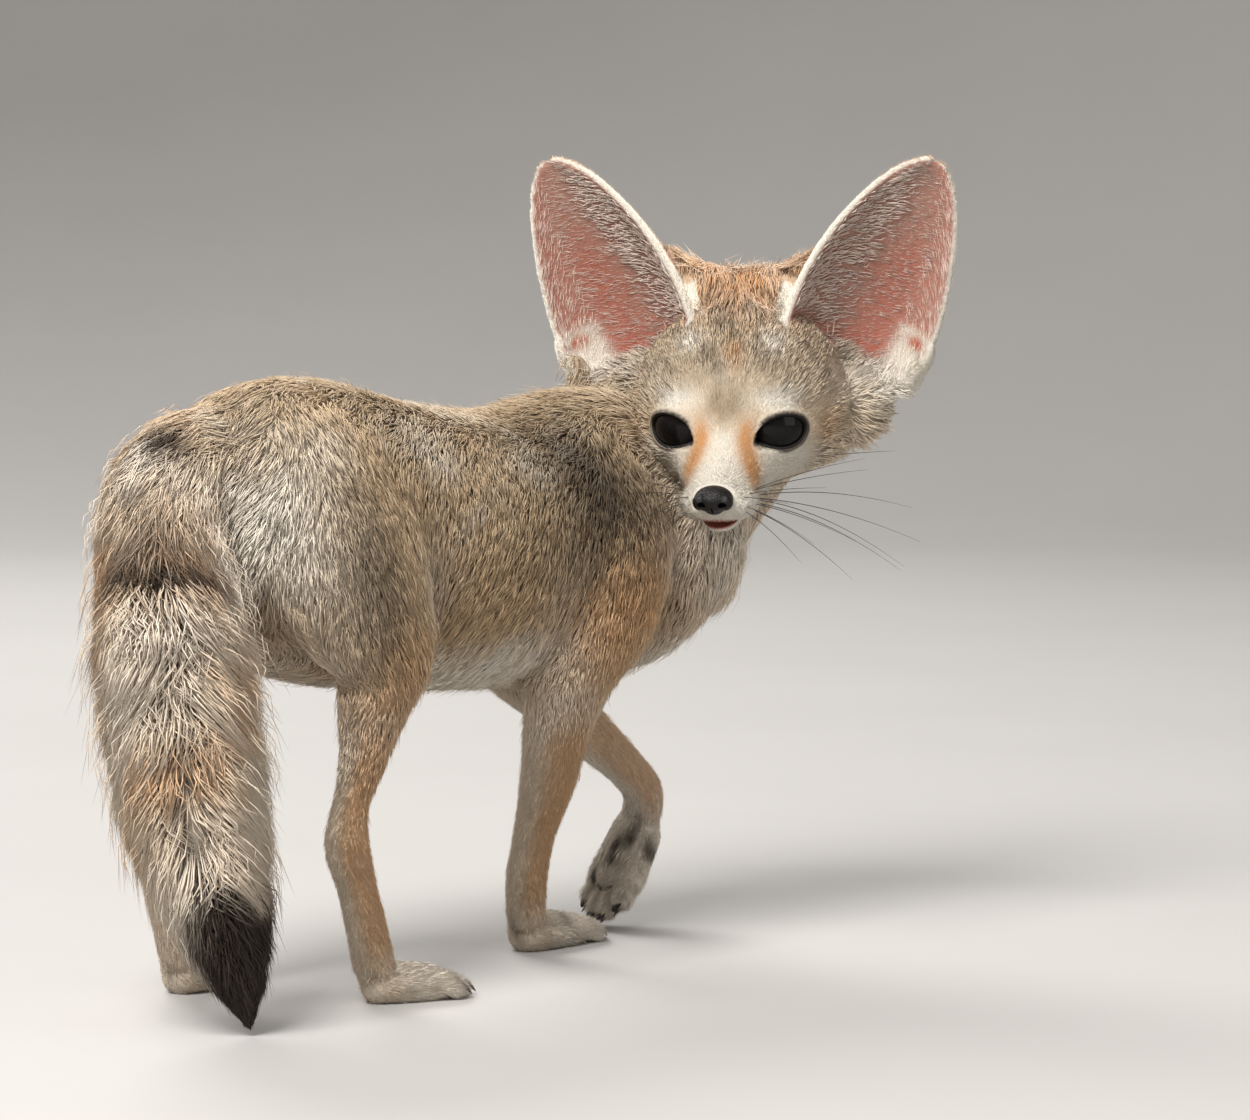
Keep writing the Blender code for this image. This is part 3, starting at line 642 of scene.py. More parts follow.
@dataclass
class Trunk:
    """Trunk, neck, legs, paws and the tail's core, as one flesh."""

    floor: float = 1.8
    voxel: float = 1.9
    paw_voxel: float = 0.95
    parting: Row = (-0.766, -0.643, 0.0)
    limbs: List[Limb] = field(default_factory=list)
    paws: List[Paw] = field(default_factory=list)
    spots: Sequence[Spot] = (
        Spot(PALE, (-104, -29, 174), (17, 15, 15), 0.75),
        Spot(PALE, (-84, -29, 189), (13, 13, 9), 0.5),
        Spot(PALE, (-29, -25, 184), (14, 12, 9), 0.55),
        Spot(PALE, (-103, -38, 153), (15, 14, 18), 0.75),
        Spot(PALE, (-119, -21, 167), (13, 14, 14), 0.8),
        Spot(PALE, (-40, -37, 140), (15, 14, 18), 0.45),
        Spot(PALE, (20, -36, 178), (20, 14, 9), 0.25),
        # the dark patch on the shoulders is partly the coat's darker colour and partly painted shade under
        # the turned head
        Spot(DARK, (52, -35, 165), (25, 22, 22), 0.85),
        Spot(DARK, (26, -37, 148), (24, 18, 16), 0.3),
        Spot(DARK, (-79, -43, 156), (10, 16, 25), 0.36),
        Spot(GREY, (-80, -43, 154), (13, 16, 26), 0.35),
        Spot(DARK, (-74, -48, 134), (9, 14, 16), 0.3),
        Spot(DARK, (-124, -13, 188), (6, 10, 4.5), 1.6, False),
        # painted shade in the crease between the tail's root and the rump
        Spot(DARK, (-146, -21, 154), (8, 11, 4), 1.5, False),
        Spot(RUST, (-154, 4, 160), (13, 16, 13), 0.85, False),
        Spot(PALE, (-128, -30, 150), (15, 15, 18), 0.6, False),
        Spot(PALE, (106, -42, 142), (24, 15, 24), 1, False),
        Spot(DARK, (34, -28, 179), (22, 15, 10), 0.35),
        Spot(RUST, (60, -42, 134), (22, 16, 20), 0.45),
        Spot(RUST, (40, -40, 116), (18, 16, 20), 0.25),
        Spot(PALE, (28, -34, 112), (12, 16, 26), 0.5),
        Spot(PALE, (-88, -30, 118), (14, 18, 22), 0.6),
        Spot(RUST, (-64, -42, 112), (12, 16, 18), 0.35),
    )

    def __post_init__(self) -> None:
        """Lists the limbs and paws."""
        fore = (
            ((0, 3.4), (0.35, 2.6), (0.6, 1.2), (1, 0.9), (1.2, 1.9)),
            ((0, 13), (0.35, 9), (0.55, 5), (0.8, 4), (1, 4.4), (1.1, 5.4), (1.2, 3)),
        )
        hind = (
            ((0, 3.4), (0.4, 2.8), (0.6, 1.1), (1, 0.9), (1.2, 1.9)),
            ((0, 14), (0.35, 13), (0.5, 8), (0.62, 4.5), (0.8, 4), (1, 4.4), (1.1, 5.4), (1.2, 3)),
        )
        self.limbs = [
            Limb(
                "trunk",
                (
                    (-119, 0, 170, 20, 20), (-108, 0, 165, 33, 35), (-88, 0, 159, 40.5, 46),
                    (-62, 0, 153, 40.5, 50), (-36, 0, 148, 37.5, 49), (-5, 0, 144, 39.5, 48),
                    (26, 0, 142, 40.5, 48), (52, 0, 143, 39.5, 51), (76, -1, 144, 34, 52),
                    (93, -7, 141, 31, 46), (105, -17, 141, 28, 38), (113, -24, 141, 21, 28),
                ),
                ((0, 4.0), (0.2, 3.6), (0.6, 3.4), (1, 5.5)),
                ((0, 16), (0.2, 12.5), (0.5, 9.5), (0.75, 10), (1, 14)),
                forward=False, sides=48, samples=60,
            ),
            Limb(
                "neck",
                (
                    (70, 0, 158, 31, 38), (90, -8, 158, 29, 36), (106, -19, 160, 27, 31),
                    (116, -30, 170, 25, 28), (122, -38, 181, 24, 25),
                ),
                ((0, 3.5), (1, 4.5)), ((0, 15), (1, 17)), forward=False, sides=40, samples=24,
            ),
            Limb(
                "fore_standing",
                (
                    (64, -19, 168, 13, 19), (62, -26, 146, 17, 24), (53, -28, 122, 16, 23),
                    (42, -25, 101, 13, 17), (40, -20, 84, 11.5, 13.5), (43, -13, 64, 10, 11),
                    (44, -5, 42, 7.6, 8), (45, -1, 28, 7.8, 7.8), (47, 1, 13, 7.6, 7.2),
                ),
                *fore,
            ),
            Limb(
                "fore_raised",
                (
                    (64, 19, 168, 13, 19), (66, 26, 146, 17, 24), (64, 27, 122, 16, 22),
                    (67, 24, 102, 13, 16), (80, 20, 88, 11, 12), (98, 15, 71, 9, 9.5),
                    (113, 10, 57, 7.6, 7.8), (120, 9, 49, 7.8, 7.6), (119, 10, 39, 8, 7.4),
                ),
                *fore,
            ),
            Limb(
                "hind_forward",
                (
                    (-80, -19, 176, 17, 26), (-78, -27, 154, 19, 33), (-69, -32, 132, 17, 29),
                    (-62, -34, 113, 14, 20), (-66, -33, 97, 10.2, 12.6), (-71, -33, 80, 7.2, 8.2),
                    (-75.5, -32, 66, 6.2, 7), (-77, -32, 57, 7.2, 8.6), (-71.5, -31, 42, 6.9, 7.2),
                    (-65, -29.5, 26, 7.2, 7.4), (-60, -28, 13, 7.8, 7.4),
                ),
                *hind,
            ),
            Limb(
                "hind_back",
                (
                    (-80, 19, 176, 17, 26), (-81, 27, 154, 19, 33), (-77, 32, 132, 17, 29),
                    (-74, 34, 113, 14, 20), (-81, 34, 97, 10.2, 12.6), (-90, 34, 80, 7.2, 8.2),
                    (-98.5, 33, 66, 6.2, 7), (-101, 33, 57, 7.2, 8.6), (-96.5, 33, 42, 6.9, 7.2),
                    (-91, 33, 26, 7.2, 7.4), (-87, 33, 13, 7.8, 7.4),
                ),
                *hind,
            ),
            Limb(
                "tail",
                (
                    (-92, 0, 177, 14, 14), (-112, -1, 180, 17, 17), (-127, -4, 168, 22, 22),
                    (-134, -11, 143, 25, 25), (-138, -19, 106, 27.5, 27.5), (-138, -26, 72, 25.5, 25.5),
                    (-134, -33, 38, 18, 18), (-130, -37, 17, 9, 9), (-128, -38.5, 6, 2.5, 2.5),
                ),
                ((0, 4), (0.15, 6.5), (0.3, 11), (0.5, 13.5), (0.7, 12.5), (0.85, 9), (1, 1.6)),
                ((0, 14), (0.15, 19), (0.4, 24), (0.75, 25), (0.9, 22), (1, 12)),
                sides=28, samples=60,
            ),
        ]
        self.paws = [
            Paw("fore_standing", (48, 2, 8), (84, 4, 5.5), (0, 0, 1), 1.0),
            Paw("fore_raised", (118.5, 11, 35), (103, 14, 8.6), (0.85, -0.2, 0.45), 1.25, 1.22),
            Paw("hind_forward", (-59, -28, 8), (-31, -38, 5.5), (0, 0, 1), 1.0),
            Paw("hind_back", (-87, 33, 8), (-55, 37, 5.5), (0, 0, 1), 1.0),
        ]

    def limb(self, name: str) -> Limb:
        """The limb of this name."""
        return next(limb for limb in self.limbs if limb.name == name)

    def build(self, shift: Array) -> Object:
        """Melts the limbs into one flesh, joins the finer paws and flattens the soles.

        Args:
            shift: from the body's frame to the model's.

        Returns:
            The flesh as an object.
        """
        clay, fine = Clay(BODY, shift), Clay(BODY, shift)
        for limb in self.limbs:
            limb.form(clay)
        for paw in self.paws:
            paw.form(fine)
        flesh = clay.melt("flesh", self.voxel, 5)
        combine(flesh, "UNION", fine.melt("paws", self.paw_voxel, 1))
        bm = bmesh.new()
        bm.from_mesh(flesh.data)
        level = (self.floor + shift[2]) * MM
        cut = bmesh.ops.bisect_plane(
            bm, geom=bm.verts[:] + bm.edges[:] + bm.faces[:], plane_co=(0, 0, level), plane_no=(0, 0, -1),
            clear_outer=True,
        )
        rims = [item for item in cut["geom_cut"] if isinstance(item, bmesh.types.BMEdge)]
        bmesh.ops.holes_fill(bm, edges=rims, sides=0)
        bmesh.ops.triangulate(bm, faces=[f for f in bm.faces if len(f.verts) > 4])
        bm.to_mesh(flesh.data)
        bm.free()
        return flesh


@dataclass
class Ear:
    """One ear: a deep cup that opens forwards, wide at its middle and round at its tip."""

    side: Side
    root: Row = (-10.9, 33.0, 14.0)
    tip: Row = (-27.4, 67.6, 81.6)
    facing: Row = (0.95, 0.22, 0.12)
    wall: float = 2.3
    bend: float = 84.0
    rows: Sequence[Row] = (
        (-0.16, 11, 12, 12), (0, 20.5, 19.5, 18), (0.1, 25.2, 22.4, 19.5), (0.2, 27, 23.4, 19),
        (0.32, 26.4, 23.8, 17.5), (0.45, 24.4, 23, 15), (0.58, 21.6, 21.2, 12.2), (0.7, 18.2, 18.4, 9.2),
        (0.8, 14.8, 15.4, 6.6), (0.88, 11.4, 12, 4.6), (0.94, 8, 8.4, 3.2), (0.98, 4.6, 4.8, 2.2),
        (1, 1.6, 1.8, 1.6),
    )

    def __post_init__(self) -> None:
        """Works out the ear's upward, outward and facing directions."""
        flip = np.array([1, self.side.value, 1])
        self.base = np.array(self.root) * flip
        end = np.array(self.tip) * flip
        self.up = unit(end - self.base)
        face = np.array(self.facing) * flip
        self.face = unit(face - self.up * (face @ self.up))
        self.outward = np.cross(self.face, self.up) * -self.side.value
        self.height = float(np.linalg.norm(end - self.base))

    def sheet(self, share: Array, across: Array) -> Array:
        """Places on the cup's middle surface.

        Args:
            share: how far up the ear, 0 at its root and 1 at its tip.
            across: from -1 at the inner edge to 1 at the outer one.

        Returns:
            One place in the head's frame for each pair.
        """
        table = np.array(self.rows)
        outer, inner, hollow = (np.interp(share, table[:, 0], table[:, i]) for i in (1, 2, 3))
        turn = across * math.radians(self.bend)
        reach = np.where(across > 0, outer, inner) * np.sin(turn) / math.sin(math.radians(self.bend))
        sink = hollow * (np.cos(turn) - math.cos(math.radians(self.bend)))
        return (
            self.base
            + np.outer(share * self.height, self.up)
            + np.outer(reach, self.outward)
            - np.outer(sink, self.face)
        )

    def locate(self, points: Array) -> Tuple[Array, Array, Array]:
        """Where places of the head's frame are on the ear.

        Args:
            points: places in the head's frame.

        Returns:
            Share up the ear, place across it, and height in front of its sheet in millimetres.
        """
        away = points - self.base
        share = away @ self.up / self.height
        reach = away @ self.outward
        table = np.array(self.rows)
        outer, inner, hollow = (np.interp(share, table[:, 0], table[:, i]) for i in (1, 2, 3))
        wide = np.where(reach > 0, outer, inner)
        across = np.clip(reach / wide, -1.3, 1.3)
        turn = np.arcsin(np.clip(across * math.sin(math.radians(self.bend)), -1, 1))
        sink = hollow * (np.cos(turn) - math.cos(math.radians(self.bend)))
        over = across - np.clip(across, -1, 1)
        return share, turn / math.radians(self.bend) + over, away @ self.face + sink

    def form(self, clay: Clay) -> None:
        """Adds the ear as a closed cup with a rounded rim.

        Args:
            clay: what it is added to.
        """
        low, high = self.rows[0][0], 0.86
        level = np.linspace(low, high, 40)
        level = np.concatenate([level, 1 - (1 - high) * (1 - np.linspace(0, 1, 15)[1:]) ** 1.7])
        n, m = len(level), 30
        grid_share, grid_across = np.meshgrid(level, np.linspace(-1, 1, m), indexing="ij")
        sheet = self.sheet(grid_share.ravel(), grid_across.ravel()).reshape(n, m, 3)
        up, over = np.gradient(sheet, axis=0), np.gradient(sheet, axis=1)
        normal = unit(np.cross(up, over))
        thick = self.wall * (1 + 0.5 * np.clip(0.25 - grid_share, 0, 0.3) / 0.3)[..., None] / 2
        front, back = (sheet + normal * thick).reshape(-1, 3), (sheet - normal * thick).reshape(-1, 3)
        quads = []
        for i in range(n - 1):
            for k in range(m - 1):
                a, b, c, d = i * m + k, i * m + k + 1, (i + 1) * m + k + 1, (i + 1) * m + k
                quads.append((a, b, c, d))
                quads.append((a + n * m, d + n * m, c + n * m, b + n * m))
        rim = [i * m for i in range(n)] + [(n - 1) * m + k for k in range(1, m)]
        rim += [i * m + m - 1 for i in range(n - 2, -1, -1)] + list(range(m - 2, 0, -1))
        for a, b in zip(rim, rim[1:] + rim[:1]):
            quads.append((a, b, b + n * m, a + n * m))
        clay.add(np.vstack([front, back]), quads)
        fold = self.sheet(np.array([0.1, 0.2]), np.array([0.93, 0.99]))
        clay.ball(fold[0] + self.face * 1.0, (4.2, 3.6, 7.0), (-24 * self.side.value, 0, 0), 3)
        clay.ball(fold[1] + self.face * 0.6, (2.4, 2.2, 6.5), (-20 * self.side.value, 0, 0), 3)


@dataclass
class Head:
    """Skull, cheeks, muzzle, lids and ears, in the head's own frame."""

    at: Row = (102.8, -47.1, 186.0)
    turn: float = -151.0
    nod: float = 17.0
    voxel: float = 0.95
    eye_radius: float = 11.0
    eye_at: Row = (15.0, 15.1, 1.8)
    eye_splay: float = 27.0
    eye_nod: float = -4.0
    opening: Tuple[float, float] = (9.8, 6.3)
    slant: float = 3.5
    lid: float = 1.6
    socket: float = 0.35
    flare: Sequence[Tuple[float, float]] = ((2, 0.8), (11, 1.0), (20, 1.55))
    mouth_at: Row = (46.5, 0.0, -20.9)
    mouth: Row = (8.5, 7.4, 2.1)
    lip_bare: Row = (8.9, 7.8, 2.5)
    gums: Row = (9.0, 7.9, 2.7)
    nose_at: Row = (53.5, 0.0, -10.8)
    nose_bed_at: Row = (53.6, 0.0, -11.4)
    nose_bed: Row = (5.4, 6.5, 5.0)
    skull: Sequence[Row] = (
        (-37, 0, 5, 18, 18), (-27, 0, 6, 29, 27), (-14, 0, 5.5, 35.5, 30.5), (-3, 0, 2.5, 36.5, 28.5),
        (8, 0, -1.5, 33, 25), (17, 0, -5, 27, 20), (25, 0, -9, 19.5, 15), (33, 0, -12, 15, 11.8),
        (41, 0, -14, 12.8, 9.6), (48.5, 0, -14.8, 11, 8),
    )
    cheeks: Sequence[Row] = (
        (-30, 0, -1, 24, 15), (-20, 0, -3, 37, 19), (-8, 0, -5.5, 39.5, 19.5), (4, 0, -9, 35.5, 17.5),
        (14, 0, -11, 27.5, 13.5), (24, 0, -13, 18.5, 10.5),
    )
    spots: Sequence[Spot] = (
        Spot(RUST, (27.5, 7.6, 5), (4, 2.8, 3.8), 0.6),
        Spot(RUST, (31.8, 7.4, 2), (4.2, 3, 4), 1),
        Spot(RUST, (34.8, 9, -2.6), (4.2, 3.2, 4.2), 1),
        Spot(RUST, (37.8, 11.2, -6.8), (4.2, 3.4, 4.2), 1),
        Spot(RUST, (41, 12.6, -10.4), (3.6, 2.6, 3), 0.6),
        Spot(RUST, (13.6, 1.7, 24.4), (5, 3.2, 4.6), 0.7, False),
        Spot(RUST, (-9, 0, 36), (13, 22, 11), 0.55, False),
        Spot(RUST, (-24, 22, 48), (9, 12, 14), 0.6),
        Spot(PALE, (20, 17.5, 12.2), (5.5, 8.5, 2.7), 1),
        Spot(PALE, (18, 0, 20), (5, 2.4, 7), 0.3, False),
        Spot(PALE, (6.6, 13.5, 26.5), (5, 4.5, 5), 0.9),
        Spot(PALE, (22, 22, -9), (9, 10, 6), 0.6),
        Spot(PALE, (38, 0, -4), (12, 5, 7), 0.8, False),
        Spot(DARK, (24.5, 6.6, 5.6), (2.2, 1.7, 2.2), 0.7),
        Spot(DARK, (10, 27.5, 4), (5, 3, 5), 0.25),
        Spot(GREY, (25, 2.5, 11), (6.5, 5.5, 9), 0.8),
        Spot(PALE, (26, 0, 11), (7, 5.5, 9), -0.7, False),
        Spot(DARK, (27, 0, 8), (6, 1.6, 6), 0.1, False),
        Spot(PALE, (-24, 54, 12), (12, 12, 12), 0.9),
        Spot(RUST, (10, 29.5, -1), (5, 4, 6.5), 0.5),
        Spot(PALE, (-14, 44, 8), (18, 15, 12), 0.6),
        Spot(GREY, (8, 24, 16), (7, 7, 5), 0.25),
    )
    lips: Sequence[Row] = (
        (27, 15.2, -19, 0.8, 0.6), (35, 12.6, -20, 0.8, 0.7), (43, 9.8, -20.4, 0.8, 0.8),
        (50, 4, -20.6, 1.1, 1.1), (50, -4, -20.6, 1.1, 1.1), (43, -9.8, -20.4, 0.8, 0.8),
        (35, -12.6, -20, 0.8, 0.7), (27, -15.2, -19, 0.8, 0.6),
    )

    def __post_init__(self) -> None:
        """Works out the head's frame and makes the ears."""
        spin = Euler((0, math.radians(self.nod), math.radians(self.turn))).to_matrix()
        self.place = Place(np.array(spin), np.array(self.at))
        self.ears = [Ear(side) for side in Side]

    def eye_centre(self, side: Side) -> Array:
        """The middle of an eyeball."""
        return np.array(self.eye_at) * np.array([1, side.value, 1])

    def eye_turn(self, side: Side) -> Array:
        """The turn that faces an eye outwards."""
        spin = Euler((0, math.radians(self.eye_nod), math.radians(self.eye_splay * side.value)))
        return np.array(spin.to_matrix())

    def almond(self, side: Side, count: int) -> Array:
        """The lids' opening, seen along the eye's axis.

        Args:
            side: which eye.
            count: how many places to find.

        Returns:
            A sideways and an upward place in millimetres in each row.
        """
        wide, tall = self.opening
        angle = math.tau * np.arange(count) / count
        across = np.cos(angle) * wide
        up = np.sign(np.sin(angle)) * np.abs(np.sin(angle)) ** 0.92 * tall
        inner = np.clip(-across * side.value / wide, 0, 1)
        across = across * (1 + 0.14 * inner**6)
        up = up * (1 - 0.08 * inner) - 0.4 * inner - 1.9 * inner**4
        return tilted(across, up, math.radians(-self.slant * side.value))

    def rim(self, side: Side, radius: float, count: int = 72) -> Array:
        """The opening's edge where it lies on a ball round the eye.

        Args:
            side: which eye.
            radius: the ball's radius in millimetres.
            count: how many places to find.

        Returns:
            Places in the head's frame.
        """
        flat = self.almond(side, count)
        reach = np.full(count, radius * 0.6)
        near, middle, far = self.flare
        for _ in range(12):
            low = near[1] + (middle[1] - near[1]) * (reach - near[0]) / (middle[0] - near[0])
            high = middle[1] + (far[1] - middle[1]) * (reach - middle[0]) / (far[0] - middle[0])
            wide = flat * np.where(reach < middle[0], low, high)[:, None]
            over = np.minimum(np.linalg.norm(wide, axis=1), radius * 0.985)
            reach = np.sqrt(radius**2 - over**2)
        wide *= (over / np.linalg.norm(wide, axis=1))[:, None]
        return self.eye_centre(side) + np.column_stack([reach, wide]) @ self.eye_turn(side).T

    def wedge(self, clay: Clay, side: Side) -> None:
        """Adds the flared wedge that opens the lids.

        Args:
            clay: the cutter that it is added to.
            side: which eye.
        """
        count, stack = 40, []
        flat = self.almond(side, count)
        for reach, spread in self.flare:
            local = np.column_stack([np.full(count, float(reach)), flat * spread])
            stack.append(self.eye_centre(side) + local @ self.eye_turn(side).T)
        ends = [tuple(range(count))[::-1], tuple(range(2 * count, 3 * count))]
        clay.add(np.vstack(stack), ends + ring_faces(len(stack), count))

    def build(self, shift: Array) -> Object:
        """Melts the head and ears, then opens lids, sockets, lips and mouth.

        Args:
            shift: from the body's frame to the model's.

        Returns:
            The flesh of the head as an object.
        """
        clay = Clay(self.place, shift)
        clay.loft([(x, y, z, w - 1.0, d - 1.0) for x, y, z, w, d in self.skull], (0, 1, 0), 48, 44)
        clay.loft([(x, y, z, w - 3.4, d - 2.6) for x, y, z, w, d in self.cheeks], (0, 1, 0), 48, 30)
        for side in Side:
            s = side.value
            clay.ball((-20, 35 * s, -3), (10.5, 14.5, 12), (28 * s, 0, 0))
            fold = (
                (-26, 26 * s, 50, 1.5, 1.5), (-25, 23 * s, 45, 3, 3),
                (-22, 17 * s, 39.5, 6, 6), (-17, 8 * s, 36.5, 8, 8),
            )
            clay.loft(fold, (1, 0, 0), 20, 12)
            clay.ball((-20, 4 * s, 37.5), (8, 8, 6))
            clay.ball((14, 13 * s, 9.0), (9, 9, 5), (0, 20, 22 * s))
            clay.ball((43.5, 6 * s, -15.4), (8.6, 7.6, 5.8), (0, 0, -10 * s))
            clay.ball(self.eye_centre(side), (self.eye_radius + self.lid,) * 3)
        clay.ball((37, 0, -22.2), (11.8, 7.0, 4.2), (0, 3, 0))
        clay.ball((-15, 0, 24.5), (19, 19, 13), (0, 12, 0))
        for ear in self.ears:
            ear.form(clay)
        head = clay.melt("head_flesh", self.voxel, 4)
        for side in Side:
            for kind in ("wedge", "socket"):
                cutter = Clay(self.place, shift)
                if kind == "wedge":
                    self.wedge(cutter, side)
                else:
                    cutter.ball(self.eye_centre(side), (self.eye_radius + self.socket,) * 3, fine=5)
                combine(head, "DIFFERENCE", cutter.shape(kind))
        gap = Clay(self.place, shift)
        gap.ball(self.mouth_at, self.mouth, (0, 2, 0))
        combine(head, "DIFFERENCE", gap.shape("gap"))
        return head

    def lip_distance(self, points: Array) -> Array:
        """How far places of the head's frame are from the line of the lips."""
        return gaps(points, curve_through(self.lips, 40)[:, :3]).min(axis=1)


# ---- where on the animal ----


@dataclass
class Survey:
    """What part of the animal each of many places is on, and how the coat grows there."""

    trunk: Trunk
    head: Head
    points: Array
    normals: Array
    sharpness: float = 7.0
    ear_wall: float = 7.0

    def __post_init__(self) -> None:
        """Weighs each place against the limbs and the head."""
        longer = {paw.name: paw.guide() for paw in self.trunk.paws}
        guides = []
        for limb in self.trunk.limbs:
            guide = limb.guide()
            if limb.name in longer:
                guide = {key: np.concatenate([guide[key], longer[limb.name][key]]) for key in guide}
            guides.append((limb.name, guide))
        for rows in (self.head.skull, self.head.cheeks):
            guides.append(("head", Limb("head", rows, (), (), forward=False).guide(self.head.place)))
        near, self.share, self.along = [], {}, {}
        for name, guide in guides:
            ratio = gaps(self.points, guide["centre"]) / guide["radius"][None]
            best = ratio.argmin(axis=1)
            near.append(ratio[np.arange(len(best)), best])
            self.share[name] = guide["share"][best]
            self.along[name] = guide["along"][best]
        close = np.array(near)
        weight = np.exp(-self.sharpness * (close - close.min(axis=0)))
        weight /= weight.sum(axis=0)
        self.weight = {name: np.zeros(len(self.points)) for name, _ in guides}
        for (name, _), part in zip(guides, weight):
            self.weight[name] += part
        self.local = self.head.place.into(self.points)
        self.facing = self.normals @ self.head.place.turn
        self.on_ear, self.ear_share, self.ear_across, self.ear_front = np.zeros((4, len(self.points)))
        self.ear_up, self.ear_out = np.zeros((2, len(self.points), 3))
        for ear in self.head.ears:
            self.weigh_ear(ear)
        for name in self.weight:
            self.weight[name] = self.weight[name] * (1 - self.on_ear) + (name == "head") * self.on_ear

    def weigh_ear(self, ear: Ear) -> None:
        """Finds the places that are on one ear, and where on it they are.

        Args:
            ear: the ear.
        """
        share_up, across, height = ear.locate(self.local)
        across = np.where(share_up > 0.88, np.clip(across, -1, 1), across)
        mine = (np.abs(across) < 1.28) & (share_up > 0.0) & (share_up < 1.08)
        mine &= (np.abs(height) < self.ear_wall) & (self.local[:, 1] * ear.side.value > 8)
        power = step(share_up, 0.0, 0.1) * mine
        lean = self.facing @ ear.outward * np.sign(across) * (np.abs(across) > 0.45)
        front = step(self.facing @ ear.face - 0.9 * lean, -0.35, 0.35)
        take = power > self.on_ear
        self.on_ear = np.where(take, power, self.on_ear)
        self.ear_share = np.where(take, share_up, self.ear_share)
        self.ear_across = np.where(take, across, self.ear_across)
        self.ear_front = np.where(take, front, self.ear_front)
        self.ear_up[take], self.ear_out[take] = ear.up, ear.outward

    def ear_rim(self, low: float = 0.84, high: float = 0.95) -> Array:
        """How far each place is on the rim of an ear, from one place across it to another."""
        return step(np.abs(self.ear_across), low, high)

    def blend(self, what: str) -> Array:
        """Mixes a table of the limbs, such as the coat's depth, over the places.

        Args:
            what: the table's name.

        Returns:
            One number for each place.
        """
        total = np.zeros(len(self.points))
        for limb in self.trunk.limbs:
            total += self.weight[limb.name] * np.interp(self.share[limb.name], *zip(*getattr(limb, what)))
        return total

    def paw(self) -> Array:
        """How far each place is down a leg, 0 at the trunk and 1 at the paw.

        Returns:
            One number for each place.
        """
        total = np.zeros(len(self.points))
        for limb in self.trunk.limbs:
            if limb.name.startswith(("fore", "hind")):
                total += self.weight[limb.name] * self.share[limb.name]
        return total

    def face(self) -> Array:
        """How far each place is on the bare muzzle, 0 at the ears and 1 at the nose."""
        return step(self.local[:, 0], 8, 34)

    def cheek(self) -> Array:
        """How far each place is in the ruff of the cheeks."""
        x, y, z = self.local.T
        return step(np.abs(y), 19, 33) * step(-z, -14, 2) * step(-x, -17, 0) * step(x, -38, -24)

    def crown(self) -> Array:
        """How far each place is in the tuft between the ears."""
        x, y, z = self.local.T
        return step(-np.abs(y), -22, -12) * step(z, 24, 34) * step(-x, -4, 10)

    def ruff(self) -> Array:
        """How far each place is on the ruff's upper edge, below the ears."""
        x, y, z = self.local.T
        return step(np.abs(y), 27, 37) * step(z, -15, -3) * step(-z, -20, -6) * step(-x, -8, 6)

    def forehead(self) -> Array:
        """How far each place is on the forehead and brows."""
        return step(self.local[:, 2], 4, 14) * step(-self.local[:, 0], -24, -12)

    def depth(self, reach: Any = 0.0) -> Array:
        """How deep the coat is, in millimetres, here or further along the tail.

        Args:
            reach: how far along, as a share of the tail.

        Returns:
            One number for each place.
        """
        low, behind = step(-self.local[:, 2], 2, 10), step(-self.local[:, 0], 22, 36) * (1 - self.on_ear)
        on_head = 1.0 + self.cheek() * (1.6 + 3.4 * low) + 1.6 * self.ruff() + 2.6 * self.crown()
        on_head += 0.35 * self.forehead() - 0.45 * self.face() + 1.6 * behind
        total = self.blend("depth") + self.weight["head"] * on_head
        tail = self.trunk.limb("tail").depth
        share = self.share["tail"]
        further = np.interp(share + reach, *zip(*tail)) - np.interp(share, *zip(*tail))
        return total + self.weight["tail"] * further

    def length(self) -> Array:
        """How long the tufts are.

        Returns:
            A length in millimetres for each place.
        """
        x, y, z = self.local.T
        on_head = 4.6 - 2.3 * self.face() + 6.5 * self.cheek() + 7.0 * self.crown()
        on_head += 4.0 * step(-z, 14, 26) * step(-x, -20, 0) + 2.2 * self.forehead()
        on_head += 4.5 * step(-x, 16, 34) - 2.5 * step(np.abs(y), 26, 34) * step(z, -2, 8)
        grown = self.blend("hair") + self.weight["head"] * on_head
        rim = self.ear_rim()
        ear = 3.4 - 1.5 * rim + 2.5 * step(-self.ear_share, -0.3, 0.0) * (1 - self.ear_front)
        comb = step(-self.ear_across, 0.0, 0.6) * (1 - rim) * step(-self.ear_share, -0.93, -0.75)
        ear += self.ear_front * (6.0 * comb + 1.4 * (1 - rim))
        return grown * (1 - self.on_ear) + ear * self.on_ear

    def lie(self) -> Array:
        """Which way the coat lies, along the skin.

        Returns:
            A direction of length one for each place.
        """
        total = np.zeros((len(self.points), 3))
        flank = np.abs(self.normals[:, 1])[:, None]
        back = np.array([-1.0, 0, -0.1]) * (1 - flank) + np.array([-0.62, 0, -1.0]) * flank
        chest = step(self.points[:, 0], 62, 96)[:, None]
        total += self.weight["trunk"][:, None] * (back * (1 - chest) + np.array([-0.2, 0, -1.0]) * chest)
        for name in ("neck", "fore_standing", "fore_raised", "hind_forward", "hind_back"):
            total += self.weight[name][:, None] * self.along[name]
        parting = np.array(self.trunk.parting)
        ahead = self.normals @ parting
        fan = unit(self.normals - ahead[:, None] * parting) * step(ahead, -0.5, 0.4)[:, None]
        total += self.weight["tail"][:, None] * (self.along["tail"] + 0.5 * fan)
        total += self.weight["head"][:, None] * (self.head_lie() @ self.head.place.turn.T)
        swirl = np.column_stack([noise(self.points, 19.0, seed) for seed in (3, 4, 5)])
        calm = 1 - 0.62 * self.weight["head"] - 0.6 * self.weight["tail"]
        return unit(flatten(unit(total) + 0.34 * swirl * calm[:, None], self.normals))

